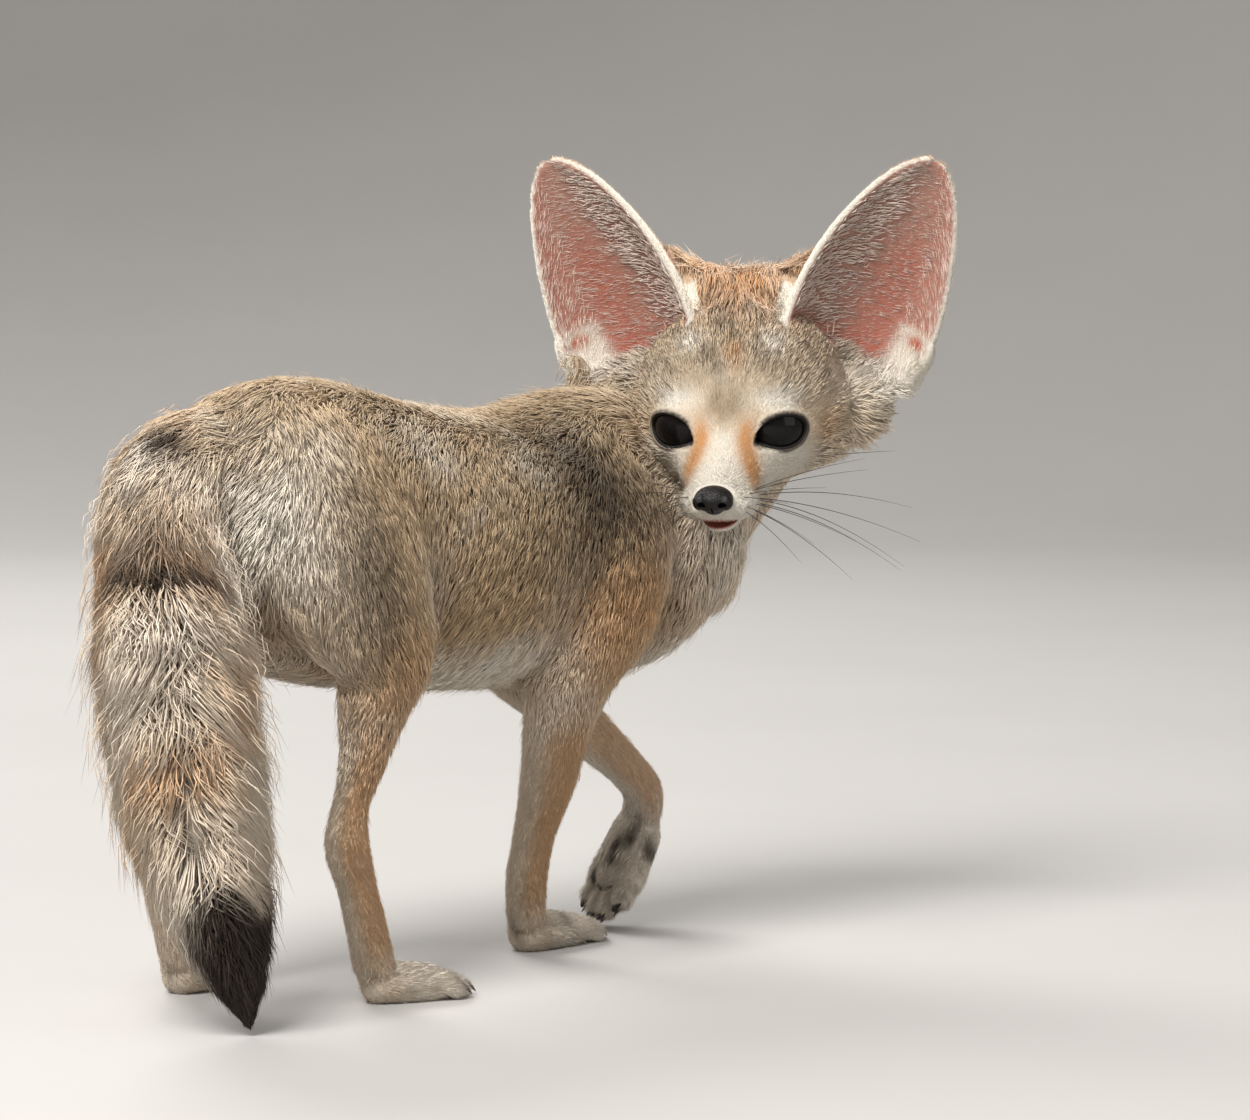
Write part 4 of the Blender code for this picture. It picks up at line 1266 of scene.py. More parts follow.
    def head_lie(self) -> Array:
        """Which way the coat lies on the head and ears.

        Returns:
            A direction in the head's frame for each place.
        """
        away = unit((self.local - np.array([58.0, 0, -9.0])) * np.array([1.0, 1.15, 1.25]))
        crown, cheek = self.crown()[:, None], self.cheek()[:, None]
        away = away * (1 - crown) + np.array([-0.3, 0, 1.3]) * crown
        away = away * (1 - 0.6 * cheek) + np.array([-0.7, 0, -0.75]) * cheek * 0.6
        away += (self.ruff() * np.sign(self.local[:, 1]))[:, None] * np.array([0.0, 0.5, 0.0])
        outer, rim = self.ear_across > 0.45, self.ear_rim(0.84, 0.96)[:, None]
        sign, front = np.sign(self.ear_across)[:, None], self.ear_front[:, None]
        comb = self.ear_out * np.where(outer, -0.5, 0.95)[:, None]
        comb = comb + self.ear_up * np.where(outer, 0.8, 0.42)[:, None]
        edge = self.ear_out * sign * 0.8 + self.ear_up * 0.7
        behind = self.ear_up + self.ear_out * 0.25 * sign
        ear = (comb * front + behind * (1 - front)) * (1 - rim) + edge * rim
        return away * (1 - self.on_ear[:, None]) + ear * self.on_ear[:, None]

    def bare(self) -> Array:
        """Where nothing grows: on the lids' edges, under the nose pad and in the mouth.

        Returns:
            True for each bare place.
        """
        gone = np.zeros(len(self.points), bool)
        for side in Side:
            rel = (self.local - self.head.eye_centre(side)) @ self.head.eye_turn(side)
            flat = tilted(rel[:, 1], rel[:, 2], math.radians(self.head.slant * side.value))
            wide = np.array(self.head.opening) * 1.06 + 0.5
            gone |= (rel[:, 0] > 0) & (rel[:, 0] < 20) & (((flat / wide) ** 2).sum(axis=1) < 1)
            gone |= np.linalg.norm(rel, axis=1) < self.head.eye_radius + 0.9
        gone |= ellipsoid(self.local, self.head.nose_bed_at, self.head.nose_bed) < 1.08
        return gone | (ellipsoid(self.local, self.head.mouth_at, self.head.lip_bare) < 1.05)

    def body_marks(self, out: Array) -> None:
        """Adds the markings of trunk, neck, tail and legs, and the painted shade among their spots.

        Args:
            out: the table of markings, with a column for each Mark.
        """
        pale, rust, dark, grey = out.T[:4]
        z, high = self.points[:, 2], step(self.points[:, 2], 116, 144)
        trunk, tail, neck = self.weight["trunk"], self.weight["tail"], self.weight["neck"]
        raised, leg, up = self.weight["fore_raised"], self.paw(), self.normals[:, 2]
        patchy = noise(self.points, 15.0, 8) * 0.5 + noise(self.points, 7.0, 9) * 0.5
        body = np.clip(1 - self.weight["head"], 0, 1)
        limb = np.clip(body - trunk - tail - neck, 0, 1)
        nape = step(z, 150, 172) * step(-self.normals[:, 0], -0.75, 0.0)
        throat = step(-z, -165, -140)
        shin = step(leg, 0.42, 0.58) * step(-leg, -1.02, -0.9)
        front = step(self.normals @ np.array([0.45, -0.8, 0.1]), -0.35, 0.5)
        back = trunk * high * (0.14 + 0.34 * step(up, 0.0, 0.8)) + neck * nape * 0.5 + limb * high * 0.1
        grey += back * (1 - step(self.points[:, 0], 84, 100) * throat)
        grey += tail * (0.08 + 0.2 * np.clip(patchy, 0, 1))
        pale += 0.75 * step(-z, -126, -108) * trunk + 0.7 * np.clip(patchy - 0.08, 0, 1) * (trunk + tail)
        pale += tail * 0.5 + neck * throat * 0.35 + raised * (1 - high) * 0.4
        pale += step(leg, 0.3, 0.55) * (1 - 0.7 * shin * front) * 0.62 + 0.45 * step(leg, 0.98, 1.1)
        rust += shin * front * 0.4 + limb * (1 - high) * 0.1 + neck * (1 - nape) * 0.22
        blotches = np.clip(noise(self.points, 4.5, 31) * 1.4 - 0.25, 0, 1)
        dark += (0.5 + 0.6 * raised) * step(leg, 0.93, 1.02) * blotches * limb
        clumps = noise(self.points * np.array([1, 1, 0.6]), 11.0, 41)
        pale += tail * 0.7 * np.clip(clumps, 0, 1)
        rust += tail * (0.14 + 0.5 * np.clip(-clumps, 0, 1)) + trunk * high * 0.16 * np.clip(-patchy, 0, 1)
        share = self.share["tail"]
        ahead = self.normals @ np.array(self.trunk.parting)
        left = self.normals @ np.array([-0.643, 0.766, 0.0])
        line = tail * step(ahead, 0.55, 0.95) * step(share, 0.12, 0.3) * step(-share, -0.65, -0.5)
        brush = step(share + 0.05 * noise(self.points, 6.0, 14) - 0.075 * left, 0.74, 0.79) * tail
        ticks = np.clip(noise(self.points, 6.5, 17) * 1.6 - 0.1, 0, 1)
        grey += 0.5 * line * ticks
        dark += brush + 0.25 * line * ticks + 0.06 * tail * ticks
        for spot in self.trunk.spots:
            out[:, spot.mark.value] += spot.over(self.points) * body
        grey *= 1 - brush

    def lid_edge(self) -> Array:
        """How near each place is to the edge of the lids.

        Returns:
            1 on the edge and 0 from a millimetre away.
        """
        near = np.zeros(len(self.points))
        for side in Side:
            gap = gaps(self.local, self.head.rim(side, self.head.eye_radius + 1.0, 48)).min(axis=1)
            near = np.maximum(near, step(-gap, -1.6, -0.7))
        return near

    def head_marks(self, out: Array) -> None:
        """Adds the markings of the face, the crown and the mouth.

        Args:
            out: the table of markings, with a column for each Mark.
        """
        pale, rust, dark, grey, pink, red = out.T
        head, muzzle = self.weight["head"] * (1 - self.on_ear), step(self.local[:, 0], 24, 35)
        crown, brow, low = self.crown(), self.forehead(), step(-self.local[:, 2], -4, 10)
        flecks = np.clip(noise(self.local * np.array([0.3, 1.0, 0.45]), 1.4, 5) * 1.7, 0, 1)
        pale += head * (0.42 + 0.6 * muzzle + 0.2 * low - 0.2 * brow - 0.25 * self.cheek() + crown)
        rust += head * crown * 0.3
        grey += head * 0.38 * brow * (1 - crown) * (1 - muzzle)
        dark += head * (0.5 * brow * (1 - 0.8 * crown) * (1 - muzzle) + 0.05) * flecks
        for spot in self.head.spots:
            out[:, spot.mark.value] += spot.over(self.local) * head
        lips = step(-self.head.lip_distance(self.local), -1.5, -0.7)
        gums = ellipsoid(self.local, self.head.mouth_at, self.head.gums)
        mouth = self.weight["head"] * step(-gums, -1.1, -0.98)
        dark += self.weight["head"] * (0.95 * self.lid_edge() + 0.6 * lips) + mouth * 0.5
        red += mouth
        pink += mouth * 0.8

    def ear_marks(self, out: Array) -> None:
        """Adds the markings of the ears, and a painted glow of light through their skin.

        Args:
            out: the table of markings, with a column for each Mark.
        """
        pale, rust, dark, grey, pink, red = out.T
        across, share = self.ear_across, self.ear_share
        rim = self.ear_rim(0.82, 0.93)
        low, foot = step(-share, -0.2, -0.06), step(-share, -0.3, -0.08)
        # painted light: a redder stripe up the inside of the ear stands for light shining through its thin
        # skin
        glow_stripe = np.exp(-(((across - 0.22) / 0.24) ** 2)) * step(-share, -0.75, -0.5)
        pocket = np.exp(-(((across - 0.68) / 0.13) ** 2) - ((share - 0.225) / 0.035) ** 2)
        fold = step(across, 0.35, 0.55) * step(-share, -0.3, -0.26) * (1 - pocket)
        front, behind = self.ear_front * (1 - rim), (1 - self.ear_front) * (1 - rim)
        bare = self.on_ear * front * (1 - 0.9 * fold)
        pale += self.on_ear * (rim + front + (0.32 + 0.45 * foot) * behind + fold)
        pale *= 1 - 0.9 * self.on_ear * self.ear_front * pocket
        grey += self.on_ear * front * low * (1 - fold) * 0.5
        dark += self.on_ear * front * low * (1 - fold) * 0.3
        rust += self.on_ear * behind * 0.5 * (1 - foot)
        pink += bare
        red += bare * (0.5 * glow_stripe + 1.2 * pocket + 0.4 * low + 0.25 * step(across, 0.1, 0.8))

    def marks(self) -> Array:
        """The strength of each marking at each place.

        Returns:
            One row for each place, with a column for each Mark.
        """
        out = np.zeros((len(self.points), len(Mark)))
        self.body_marks(out)
        self.head_marks(out)
        self.ear_marks(out)
        return np.clip(out, 0, 1)


# ---- finishes ----


class NodeTree:
    """A tree of nodes, of a finish or of a form."""

    tree: Any

    def node(
        self, kind: str, settings: Optional[Dict[str, Any]] = None, inputs: Optional[Dict[Any, Any]] = None
    ) -> bpy.types.Node:
        """Adds a node.

        Args:
            kind: the node's type.
            settings: its own settings, which are set first.
            inputs: values or links of its sockets, by name or place.

        Returns:
            The node.
        """
        made = self.tree.nodes.new(kind)
        for key, value in (settings or {}).items():
            setattr(made, key, value)
        for key, value in (inputs or {}).items():
            value = value.socket if isinstance(value, Number) else value
            if isinstance(value, bpy.types.NodeSocket):
                self.tree.links.new(value, made.inputs[key])
            else:
                made.inputs[key].default_value = value
        return made


class Number:
    """A number socket of a material, for sums written as plain Python."""

    def __init__(self, graph: "Graph", socket: Any) -> None:
        """Wraps a socket of one graph."""
        self.graph, self.socket = graph, socket

    def _sum(self, operation: str, first: Any, second: Any = None, third: Any = None) -> "Number":
        """Adds a Math node over sockets and plain numbers."""
        inputs = {i: v for i, v in enumerate((first, second, third)) if v is not None}
        return self.graph.number(self.graph.node("ShaderNodeMath", {"operation": operation}, inputs))

    def __add__(self, other: Any) -> "Number":
        """This plus other."""
        return self._sum("ADD", self, other)

    def __sub__(self, other: Any) -> "Number":
        """This less other."""
        return self._sum("SUBTRACT", self, other)

    def __rsub__(self, other: Any) -> "Number":
        """Other less this."""
        return self._sum("SUBTRACT", other, self)

    def __mul__(self, other: Any) -> "Number":
        """This times other."""
        return self._sum("MULTIPLY", self, other)

    def __truediv__(self, other: Any) -> "Number":
        """This over other."""
        return self._sum("DIVIDE", self, other)

    def bell(self, middle: float, width: float) -> "Number":
        """1 where this is at the middle, falling to 0 at the width from it."""
        return self._sum("SMOOTH_MAX", 1 - self._sum("ABSOLUTE", (self - middle) / width), 0.0, 0.1)

    def ramp(self, low: float, high: float) -> "Number":
        """A smooth rise from 0 at low to 1 at high.

        Args:
            low: where it starts.
            high: where it ends.

        Returns:
            The new number.
        """
        inputs = {"Value": self, "From Min": low, "From Max": high}
        return self.graph.number(
            self.graph.node("ShaderNodeMapRange", {"interpolation_type": "SMOOTHSTEP"}, inputs)
        )

    __radd__ = __add__
    __rmul__ = __mul__


class Graph(NodeTree):
    """The nodes of one material."""

    def __init__(self, name: str) -> None:
        """Starts an empty material.

        Args:
            name: the material's name.
        """
        self.material = bpy.data.materials.new(name)
        self.material.use_nodes = True
        self.tree = self.material.node_tree
        self.tree.nodes.clear()

    def number(self, made: bpy.types.Node, output: Any = 0) -> Number:
        """One output of a node as a number."""
        return Number(self, made.outputs[output])

    def mix(self, first: Any, second: Any, factor: Any) -> Any:
        """Mixes two colours, given as sockets or as red, green and blue.

        Args:
            first: the colour at 0.
            second: the colour at 1.
            factor: how far it is from the first to the second.

        Returns:
            The socket of the mixed colour.
        """
        colours = [(*c, 1.0) if isinstance(c, tuple) else c for c in (first, second)]
        made = self.node("ShaderNodeMix", {"data_type": "RGBA"}, {0: factor, 6: colours[0], 7: colours[1]})
        return made.outputs[2]

    def shade(self, colour: Any, share: Any) -> Any:
        """Darkens a colour to a share of itself."""
        return self.mix((0.0, 0.0, 0.0), colour, share)

    def place(self) -> Any:
        """The socket of the surface's own coordinates, in metres."""
        return self.node("ShaderNodeTexCoord").outputs["Object"]

    def grain(self, scale: float, detail: float = 3.0, rough: float = 0.55) -> Number:
        """Noise from 0 to 1 with this many grains a metre."""
        inputs = {"Vector": self.place(), "Scale": scale, "Detail": detail, "Roughness": rough}
        return self.number(self.node("ShaderNodeTexNoise", {}, inputs))

    def channels(self, name: str) -> List[Number]:
        """The four numbers of a colour attribute.

        Args:
            name: the attribute's name.

        Returns:
            Red, green, blue and alpha.
        """
        read = self.node("ShaderNodeAttribute", {"attribute_name": name})
        parts = self.node("ShaderNodeSeparateColor", {}, {0: read.outputs["Color"]})
        return [self.number(parts, i) for i in range(3)] + [self.number(read, "Alpha")]

    def bump(self, height: Number, strength: float, distance: float) -> Any:
        """The socket of a normal roughened by a height."""
        inputs = {"Height": height, "Strength": strength, "Distance": distance}
        return self.node("ShaderNodeBump", {}, inputs).outputs["Normal"]

    def surface(self, **inputs: Any) -> Material:
        """Ends the material in a principled surface with these inputs, whose names have _ for spaces.

        Args:
            **inputs: values or links of its sockets.

        Returns:
            The finished material.
        """
        named = {key.replace("_", " "): value for key, value in inputs.items()}
        shader = self.node("ShaderNodeBsdfPrincipled", {}, named)
        output = self.node("ShaderNodeOutputMaterial")
        self.tree.links.new(shader.outputs[0], output.inputs[0])
        return self.material


@dataclass(frozen=True)
class Pelt:
    """The coat's colours and how its tufts are banded."""

    tan: Colour = (0.68, 0.50, 0.31)
    pale: Colour = (0.90, 0.84, 0.735)
    rust: Colour = (0.68, 0.36, 0.155)
    dark: Colour = (0.045, 0.032, 0.023)
    grey: Colour = (0.42, 0.33, 0.23)
    pink: Colour = (0.33, 0.18, 0.14)
    red: Colour = (0.34, 0.075, 0.045)
    lavender: Colour = (0.58, 0.42, 0.37)
    umber: Colour = (0.115, 0.078, 0.05)
    vein: Colour = (0.37, 0.12, 0.08)
    roughness: float = 0.62

    def blend(self, graph: Graph, grained: bool) -> Tuple[Any, List[Number], List[Number]]:
        """Mixes the markings' colours.

        Args:
            graph: the finish being built.
            grained: whether a grain breaks them up, or else the strands' tone.

        Returns:
            The socket of the colour, the channels of the markings, and those of the strands.
        """
        marks, strand = graph.channels("marks"), graph.channels("strand")
        fine = graph.grain(700.0, 2.0) if grained else strand[1]
        colour = graph.mix(self.tan, self.grey, marks[3])
        colour = graph.mix(colour, self.pale, marks[0])
        colour = graph.mix(colour, self.rust, marks[1] * (0.7 + 0.6 * fine))
        colour = graph.mix(colour, self.dark, marks[2])
        return colour, marks, strand

    def tufts(self) -> Material:
        """The finish of the tufts, with painted shade darkening them towards their roots, and ticked with
        dark bands.

        Returns:
            The material.
        """
        graph = Graph("coat_tufts")
        colour, marks, strand = self.blend(graph, False)
        along, tone = strand[0], strand[1]
        ticked = marks[3] * (1 - marks[0] * 0.6) * tone.ramp(0.42, 0.7) * 0.85
        colour = graph.mix(colour, self.umber, ticked * along.bell(0.62, 0.4))
        frosted = marks[3] * (1 - tone).ramp(0.45, 0.8) * along.ramp(0.35, 0.8)
        colour = graph.mix(colour, self.pale, frosted * 0.5)
        colour = graph.mix(colour, self.lavender, strand[2] * 0.7)
        # painted shade: each tuft darkens towards its root, where the coat shades itself; less so where the
        # ears are pink
        colour = graph.shade(colour, 0.68 + 0.32 * (along + strand[2] * 0.6).ramp(0.0, 0.55))
        colour = graph.shade(colour, 0.84 + 0.16 * tone)
        return graph.surface(Base_Color=colour, Roughness=self.roughness, Specular_IOR_Level=0.25)

    def skin(self) -> Material:
        """The finish of the skin: darkened by painted shade under the fur, and bare inside the ears and
        mouth.

        Returns:
            The material.
        """
        graph = Graph("coat_skin")
        colour, _, strand = self.blend(graph, True)
        down = graph.grain(1500.0, 3.0)
        # painted shade: the skin under the coat is darkened as if shadowed by the hairs; the grain down sets
        # how deep, and also roughens the relief
        colour = graph.shade(colour, 0.42 + 0.4 * down)
        flesh = graph.mix(self.pink, self.red, strand[3])
        veins = graph.grain(160.0, 4.0, 0.65)
        flesh = graph.mix(flesh, self.vein, veins.ramp(0.5, 0.72) * 0.45)
        colour = graph.mix(colour, flesh, strand[2])
        relief = graph.bump(down + graph.grain(420.0, 2.0) * 0.8, 0.6, 0.0009)
        return graph.surface(Base_Color=colour, Roughness=0.68, Normal=relief, Specular_IOR_Level=0.3)


@dataclass(frozen=True)
class Wet:
    """A dark, glossy finish, such as an eyeball's."""

    name: str
    colour: Colour
    roughness: float
    gloss: float = 0.15

    def make(self) -> Material:
        """Builds the finish, a little lighter where its grain is thin.

        Returns:
            The material.
        """
        graph = Graph(self.name)
        colour = graph.mix(self.colour, tuple(min(1.0, c * 2.2) for c in self.colour), graph.grain(260.0))
        return graph.surface(Base_Color=colour, Roughness=self.roughness, Specular_IOR_Level=self.gloss)


@dataclass(frozen=True)
class Leather:
    """Bare, pebbled skin, such as a nose's or a pad's."""

    name: str
    colour: Colour
    pale: Colour
    roughness: float = 0.42
    pebbles: float = 1700.0
    relief: float = 0.0004

    def make(self) -> Material:
        """Builds the finish: pebbles that are lighter and drier on top.

        Returns:
            The material.
        """
        graph = Graph(self.name)
        cells = graph.node(
            "ShaderNodeTexVoronoi", {"feature": "SMOOTH_F1"},
            {"Vector": graph.place(), "Scale": self.pebbles, "Smoothness": 0.4},
        )
        dome = 1 - graph.number(cells, "Distance")
        colour = graph.mix(self.colour, self.pale, dome.ramp(0.35, 0.95) * graph.grain(300.0))
        return graph.surface(
            Base_Color=colour, Roughness=self.roughness + 0.2 * graph.grain(500.0),
            Normal=graph.bump(dome, 0.7, self.relief), Specular_IOR_Level=0.25,
        )


@dataclass(frozen=True)
class Horn:
    """A claw's or a whisker's finish, streaked with a paler colour."""

    name: str
    colour: Colour
    root: Colour
    roughness: float = 0.35

    def make(self) -> Material:
        """Builds the finish with streaks.

        Returns:
            The material.
        """
        graph = Graph(self.name)
        colour = graph.mix(self.colour, self.root, graph.grain(900.0, 4.0).ramp(0.4, 0.8))
        return graph.surface(Base_Color=colour, Roughness=self.roughness)


# ---- rods ----


@dataclass(frozen=True)
class Rod:
    """A tapered rod, such as a whisker or a claw: the places it passes and its radius at each."""

    path: Array
    radii: Array


class RodTree(NodeTree):
    """The node tree that turns lines of points into tapered rods."""

    def __init__(self, name: str, finish: Material) -> None:
        """Builds the tree.

        Args:
            name: the tree's name.
            finish: the rods' material.
        """
        self.tree = bpy.data.node_groups.new(name, "GeometryNodeTree")
        sockets = self.tree.interface
        sockets.new_socket("Lines", in_out="INPUT", socket_type="NodeSocketGeometry")
        self.sides = sockets.new_socket("Sides", in_out="INPUT", socket_type="NodeSocketInt")
        self.thickness = sockets.new_socket("Thickness", in_out="INPUT", socket_type="NodeSocketFloat")
        sockets.new_socket("Rods", in_out="OUTPUT", socket_type="NodeSocketGeometry")
        start, end = self.node("NodeGroupInput"), self.node("NodeGroupOutput")
        lines = self.node("GeometryNodeMeshToCurve", {}, {"Mesh": start.outputs[0]})
        read = self.node("GeometryNodeInputNamedAttribute", {"data_type": "FLOAT"}, {"Name": "radius"})
        sizes = {0: read.outputs[0], 1: start.outputs[2]}
        wide = self.node("ShaderNodeMath", {"operation": "MULTIPLY"}, sizes)
        around = {"Resolution": start.outputs[1], "Radius": 1.0}
        ring = self.node("GeometryNodeCurvePrimitiveCircle", {}, around)
        sweep = {"Curve": lines.outputs[0], "Profile Curve": ring.outputs[0], "Scale": wide.outputs[0]}
        rods = self.node("GeometryNodeCurveToMesh", {}, {**sweep, "Fill Caps": True})
        whole = self.node("GeometryNodeRealizeInstances", {}, {0: rods.outputs[0]})
        dressed = self.node("GeometryNodeSetMaterial", {}, {"Geometry": whole.outputs[0], "Material": finish})
        self.tree.links.new(dressed.outputs[0], end.inputs[0])

    def build(self, name: str, rods: Sequence[Rod], sides: int, thickness: float = 1.0) -> Object:
        """Makes one piece of rods.

        Args:
            name: the piece's name.
            rods: the rods, in metres.
            sides: how many sides each has.
            thickness: what their radii are multiplied by.

        Returns:
            The piece, as a plain mesh.
        """
        mesh = bpy.data.meshes.new(name)
        points = np.vstack([rod.path for rod in rods])
        edges, start = [], 0
        for rod in rods:
            edges += [(start + i, start + i + 1) for i in range(len(rod.path) - 1)]
            start += len(rod.path)
        mesh.from_pydata([tuple(p) for p in points], edges, [])
        layer = mesh.attributes.new("radius", "FLOAT", "POINT")
        layer.data.foreach_set("value", np.concatenate([rod.radii for rod in rods]).astype(np.float32))
        obj = place_object(name, mesh)
        modifier = add_modifier(obj, "NODES", node_group=self.tree)
        modifier[self.sides.identifier] = sides
        modifier[self.thickness.identifier] = thickness
        apply_modifiers(obj)
        orient(obj)
        return dress(obj)


# ---- coat ----


@dataclass
class Tufts:
    """Many tufts, one row for each: places, width, markings, tone, place on the unwrap, and whether long."""

    roots: Array
    mids: Array
    tips: Array
    normals: Array
    width: Array
    marks: Array
    tone: Array
    patch: Array
    long: Array

    def pick(self, group: Array) -> "Tufts":
        """Some of the tufts."""
        return Tufts(*(getattr(self, item.name)[group] for item in fields(self)))


@dataclass(frozen=True)
class Strand:
    """The form of one closed tuft: how far along each corner is, its faces and its corners' unwrap."""

    name: str
    along: Row
    faces: Sequence[Tuple[int, int, int]]
    unwrap: Sequence[Tuple[float, float]]


LONG = Strand(
    "long", (0.0, 0.5, 0.5, 0.5, 1.0), ((2, 1, 0), (3, 2, 0), (1, 3, 0), (1, 2, 4), (2, 3, 4), (3, 1, 4)),
    ((0.0015, 0.0), (0, 0.0012), (0.003, 0.0012), (0.0015, 0.0017), (0.0015, 0.003)),
)
SHORT = Strand("short", (0.2, 0.2, 0.2, 1.0), ((2, 1, 0), (0, 1, 3), (1, 2, 3), (2, 0, 3)), LONG.unwrap[1:])


@dataclass
class Coat:
    """The tufts that grow from the skin."""

    cover_long: float = 2.8
    cover_short: float = 2.4
    tail_cover: float = 14.0
    long_from: float = 6.0
    tail_length: float = 205.0
    strays: float = 0.05
    most: int = 185000
    budget: int = 1480000
    floor: float = 0.05
    thin: float = 0.26
    widening: float = 0.0135
    locks: Sequence[Tuple[int, float]] = ((14, 0.62), (110, 0.6))
    seed: int = 11

    def grow(self, skin: Object, trunk: Trunk, head: Head, shift: Array) -> List[Object]:
        """Plants tufts all over the skin.

        Args:
            skin: the finished skin, with its unwrap.
            trunk: the body's anatomy.
            head: the head's anatomy.
            shift: from the body's frame to the model's.

        Returns:
            The coat's pieces.
        """
        rng = np.random.default_rng(self.seed)
        mesh = skin.data
        mesh.calc_loop_triangles()
        corners, loops = (read(mesh.loop_triangles, what, 3, np.int32) for what in ("vertices", "loops"))
        places, normals = read(mesh.vertices, "co", 3) / MM - shift, read(mesh.vertices, "normal", 3)
        uvs = read(mesh.uv_layers["OFBake"].data, "uv", 2)
        first, second, third = (places[corners[:, i]] for i in range(3))
        area = np.linalg.norm(np.cross(second - first, third - first), axis=1) / 2
        here = Survey(trunk, head, places[corners].mean(axis=1), unit(normals[corners].mean(axis=1)))
        length = here.length()
        wanted = area * self.cover(here, length) / (0.5 * length * self.width(length))
        cost = (wanted * np.where(length > self.long_from, len(LONG.faces), len(SHORT.faces))).sum()
        LOG.info("coat: %d triangles wanted", cost)
        number = rng.poisson(wanted * min(1, self.budget / cost))
        owner = np.repeat(np.arange(len(corners)), number)
        mix = rng.dirichlet((1, 1, 1), len(owner))[..., None]
        roots = (places[corners[owner]] * mix).sum(axis=1)
        facing = unit((normals[corners[owner]] * mix).sum(axis=1))
        patch = (uvs[loops[owner]] * mix).sum(axis=1)
        tree = BVHTree.FromPolygons([tuple(p) for p in places], [tuple(c) for c in corners])
        keep = ~Survey(trunk, head, roots, facing).bare()
        LOG.info("coat: %d roots, %d kept", len(roots), keep.sum())
        survey = Survey(trunk, head, roots[keep], facing[keep])
        return self.pieces(survey, self.comb(survey, patch[keep], tree, rng), shift)

    def cover(self, here: Survey, length: Array) -> Array:
        """How many layers of tufts lie over the skin.

        Args:
            here: where on the animal the places are.
            length: how long the tufts are there.

        Returns:
            A number of layers for each place, 0 where the skin is bare.
        """
        cover = np.where(length > self.long_from, self.cover_long, self.cover_short)
        cover = cover + self.tail_cover * here.weight["tail"] * step(here.share["tail"], 0.04, 0.2)
        inside = here.on_ear * here.ear_front * (1 - here.ear_rim(0.8, 0.92))
        thin = 0.16 + 0.55 * step(-here.ear_across, 0.1, 0.6) + 0.22 * step(here.ear_across, 0.5, 0.8)
        return np.where(here.bare(), 0, cover * (1 - inside * (1 - thin)))

    def width(self, length: Array) -> Array:
        """How wide a tuft of a length is."""
        return self.thin + self.widening * length

    def comb(self, survey: Survey, patch: Array, tree: BVHTree, rng: np.random.Generator) -> Tufts:
        """Shapes and colours a tuft at every root.

        Args:
            survey: where on the animal the roots are.
            patch: the roots' places on the unwrap.
            tree: the skin, for laying the tufts on it.
            rng: the source of chance.

        Returns:
            The tufts.
        """
        roots, normals = survey.points, survey.normals
        count, tail = len(roots), survey.weight["tail"]
        length = survey.length() * rng.uniform(0.7, 1.2, count)
        rise = survey.depth(length / self.tail_length) * rng.uniform(0.5, 1.12, count)
        inner = survey.on_ear * survey.ear_front
        rise = rise * (1 - inner) + inner * rng.uniform(0.3, 1.3, count)
        rise = rise * (1 - 0.5 * survey.on_ear * survey.ear_rim())
        width = self.width(length) * (1 - 0.2 * survey.face() * survey.weight["head"])
        stray = (rng.random(count) < self.strays) & (survey.on_ear < 0.1)
        length = np.where(stray, length * 1.35, length)
        rise = np.where(stray, rise * 1.7, rise)
        width = np.where(stray, width * 0.6, width)
        lie = survey.lie() + rng.normal(0, 0.14, (count, 3)) * (1 - 0.4 * tail[:, None])
        lie = unit(flatten(lie, normals))
        sway = np.cross(lie, normals) * rng.normal(0, 0.06, count)[:, None] * length[:, None]
        tips, tip_facing = self.settle(tree, roots + lie * length[:, None])
        mids, mid_facing = self.settle(tree, roots + lie * length[:, None] * 0.5 + sway)
        tips = tips + tip_facing * rise[:, None]
        mids = mids + mid_facing * (rise * 0.62)[:, None]
        (few, little), (many, much) = self.locks
        tips, lead = self.gather(roots, tips, length, few, little, rng)
        shaggy = tail + step(-roots[:, 0], 30, 80) * survey.weight["trunk"]
        tips, lock = self.gather(roots, tips, length, many, much * np.clip(shaggy, 0, 1), rng)
        shade = rng.normal(0, 1, count)
        tone = 0.5 + 0.16 * noise(roots, 4.5, 21) + 0.17 * rng.normal(0, 1, count)
        tone = np.clip(tone + 0.11 * shade[lead] + 0.1 * shade[lock] * shaggy, 0, 1)
        return Tufts(roots, mids, tips, normals, width, survey.marks(), tone, patch, length > self.long_from)

    def pieces(self, survey: Survey, tufts: Tufts, shift: Array) -> List[Object]:
        """Makes the pieces, by part of the body and form of tuft.

        Args:
            survey: where on the animal the tufts are.
            tufts: the tufts.
            shift: from the body's frame to the model's.

        Returns:
            The pieces.
        """
        names = list(survey.weight)
        heavy = np.array([survey.weight[name] for name in names]).argmax(axis=0)
        part = np.array(names, dtype=object)[heavy]
        part[survey.on_ear > 0.3] = "ear"
        order = tufts.roots[:, 0] + tufts.roots[:, 2] * 0.3
        made = []
        for name in sorted(set(part)):
            for strand in (LONG, SHORT):
                chosen = np.flatnonzero((part == name) & (tufts.long == (strand is LONG)))
                if not len(chosen):
                    continue
                chosen = chosen[np.argsort(order[chosen], kind="stable")]
                count = math.ceil(len(chosen) / (self.most // len(strand.faces)))
                for number, group in enumerate(np.array_split(chosen, count)):
                    label = f"coat_{name}_{strand.name}_{number + 1}"
                    made.append(self.mesh(label, strand, tufts.pick(group), shift))
                    LOG.info("%s: %d tufts", label, len(group))
        return made

    def settle(self, tree: BVHTree, places: Array) -> Tuple[Array, Array]:
        """The nearest places on the skin, and the way it faces there."""
        found = [tree.find_nearest(Vector(p))[:2] for p in places]
        return np.array([f[0] for f in found]), np.array([f[1] for f in found])

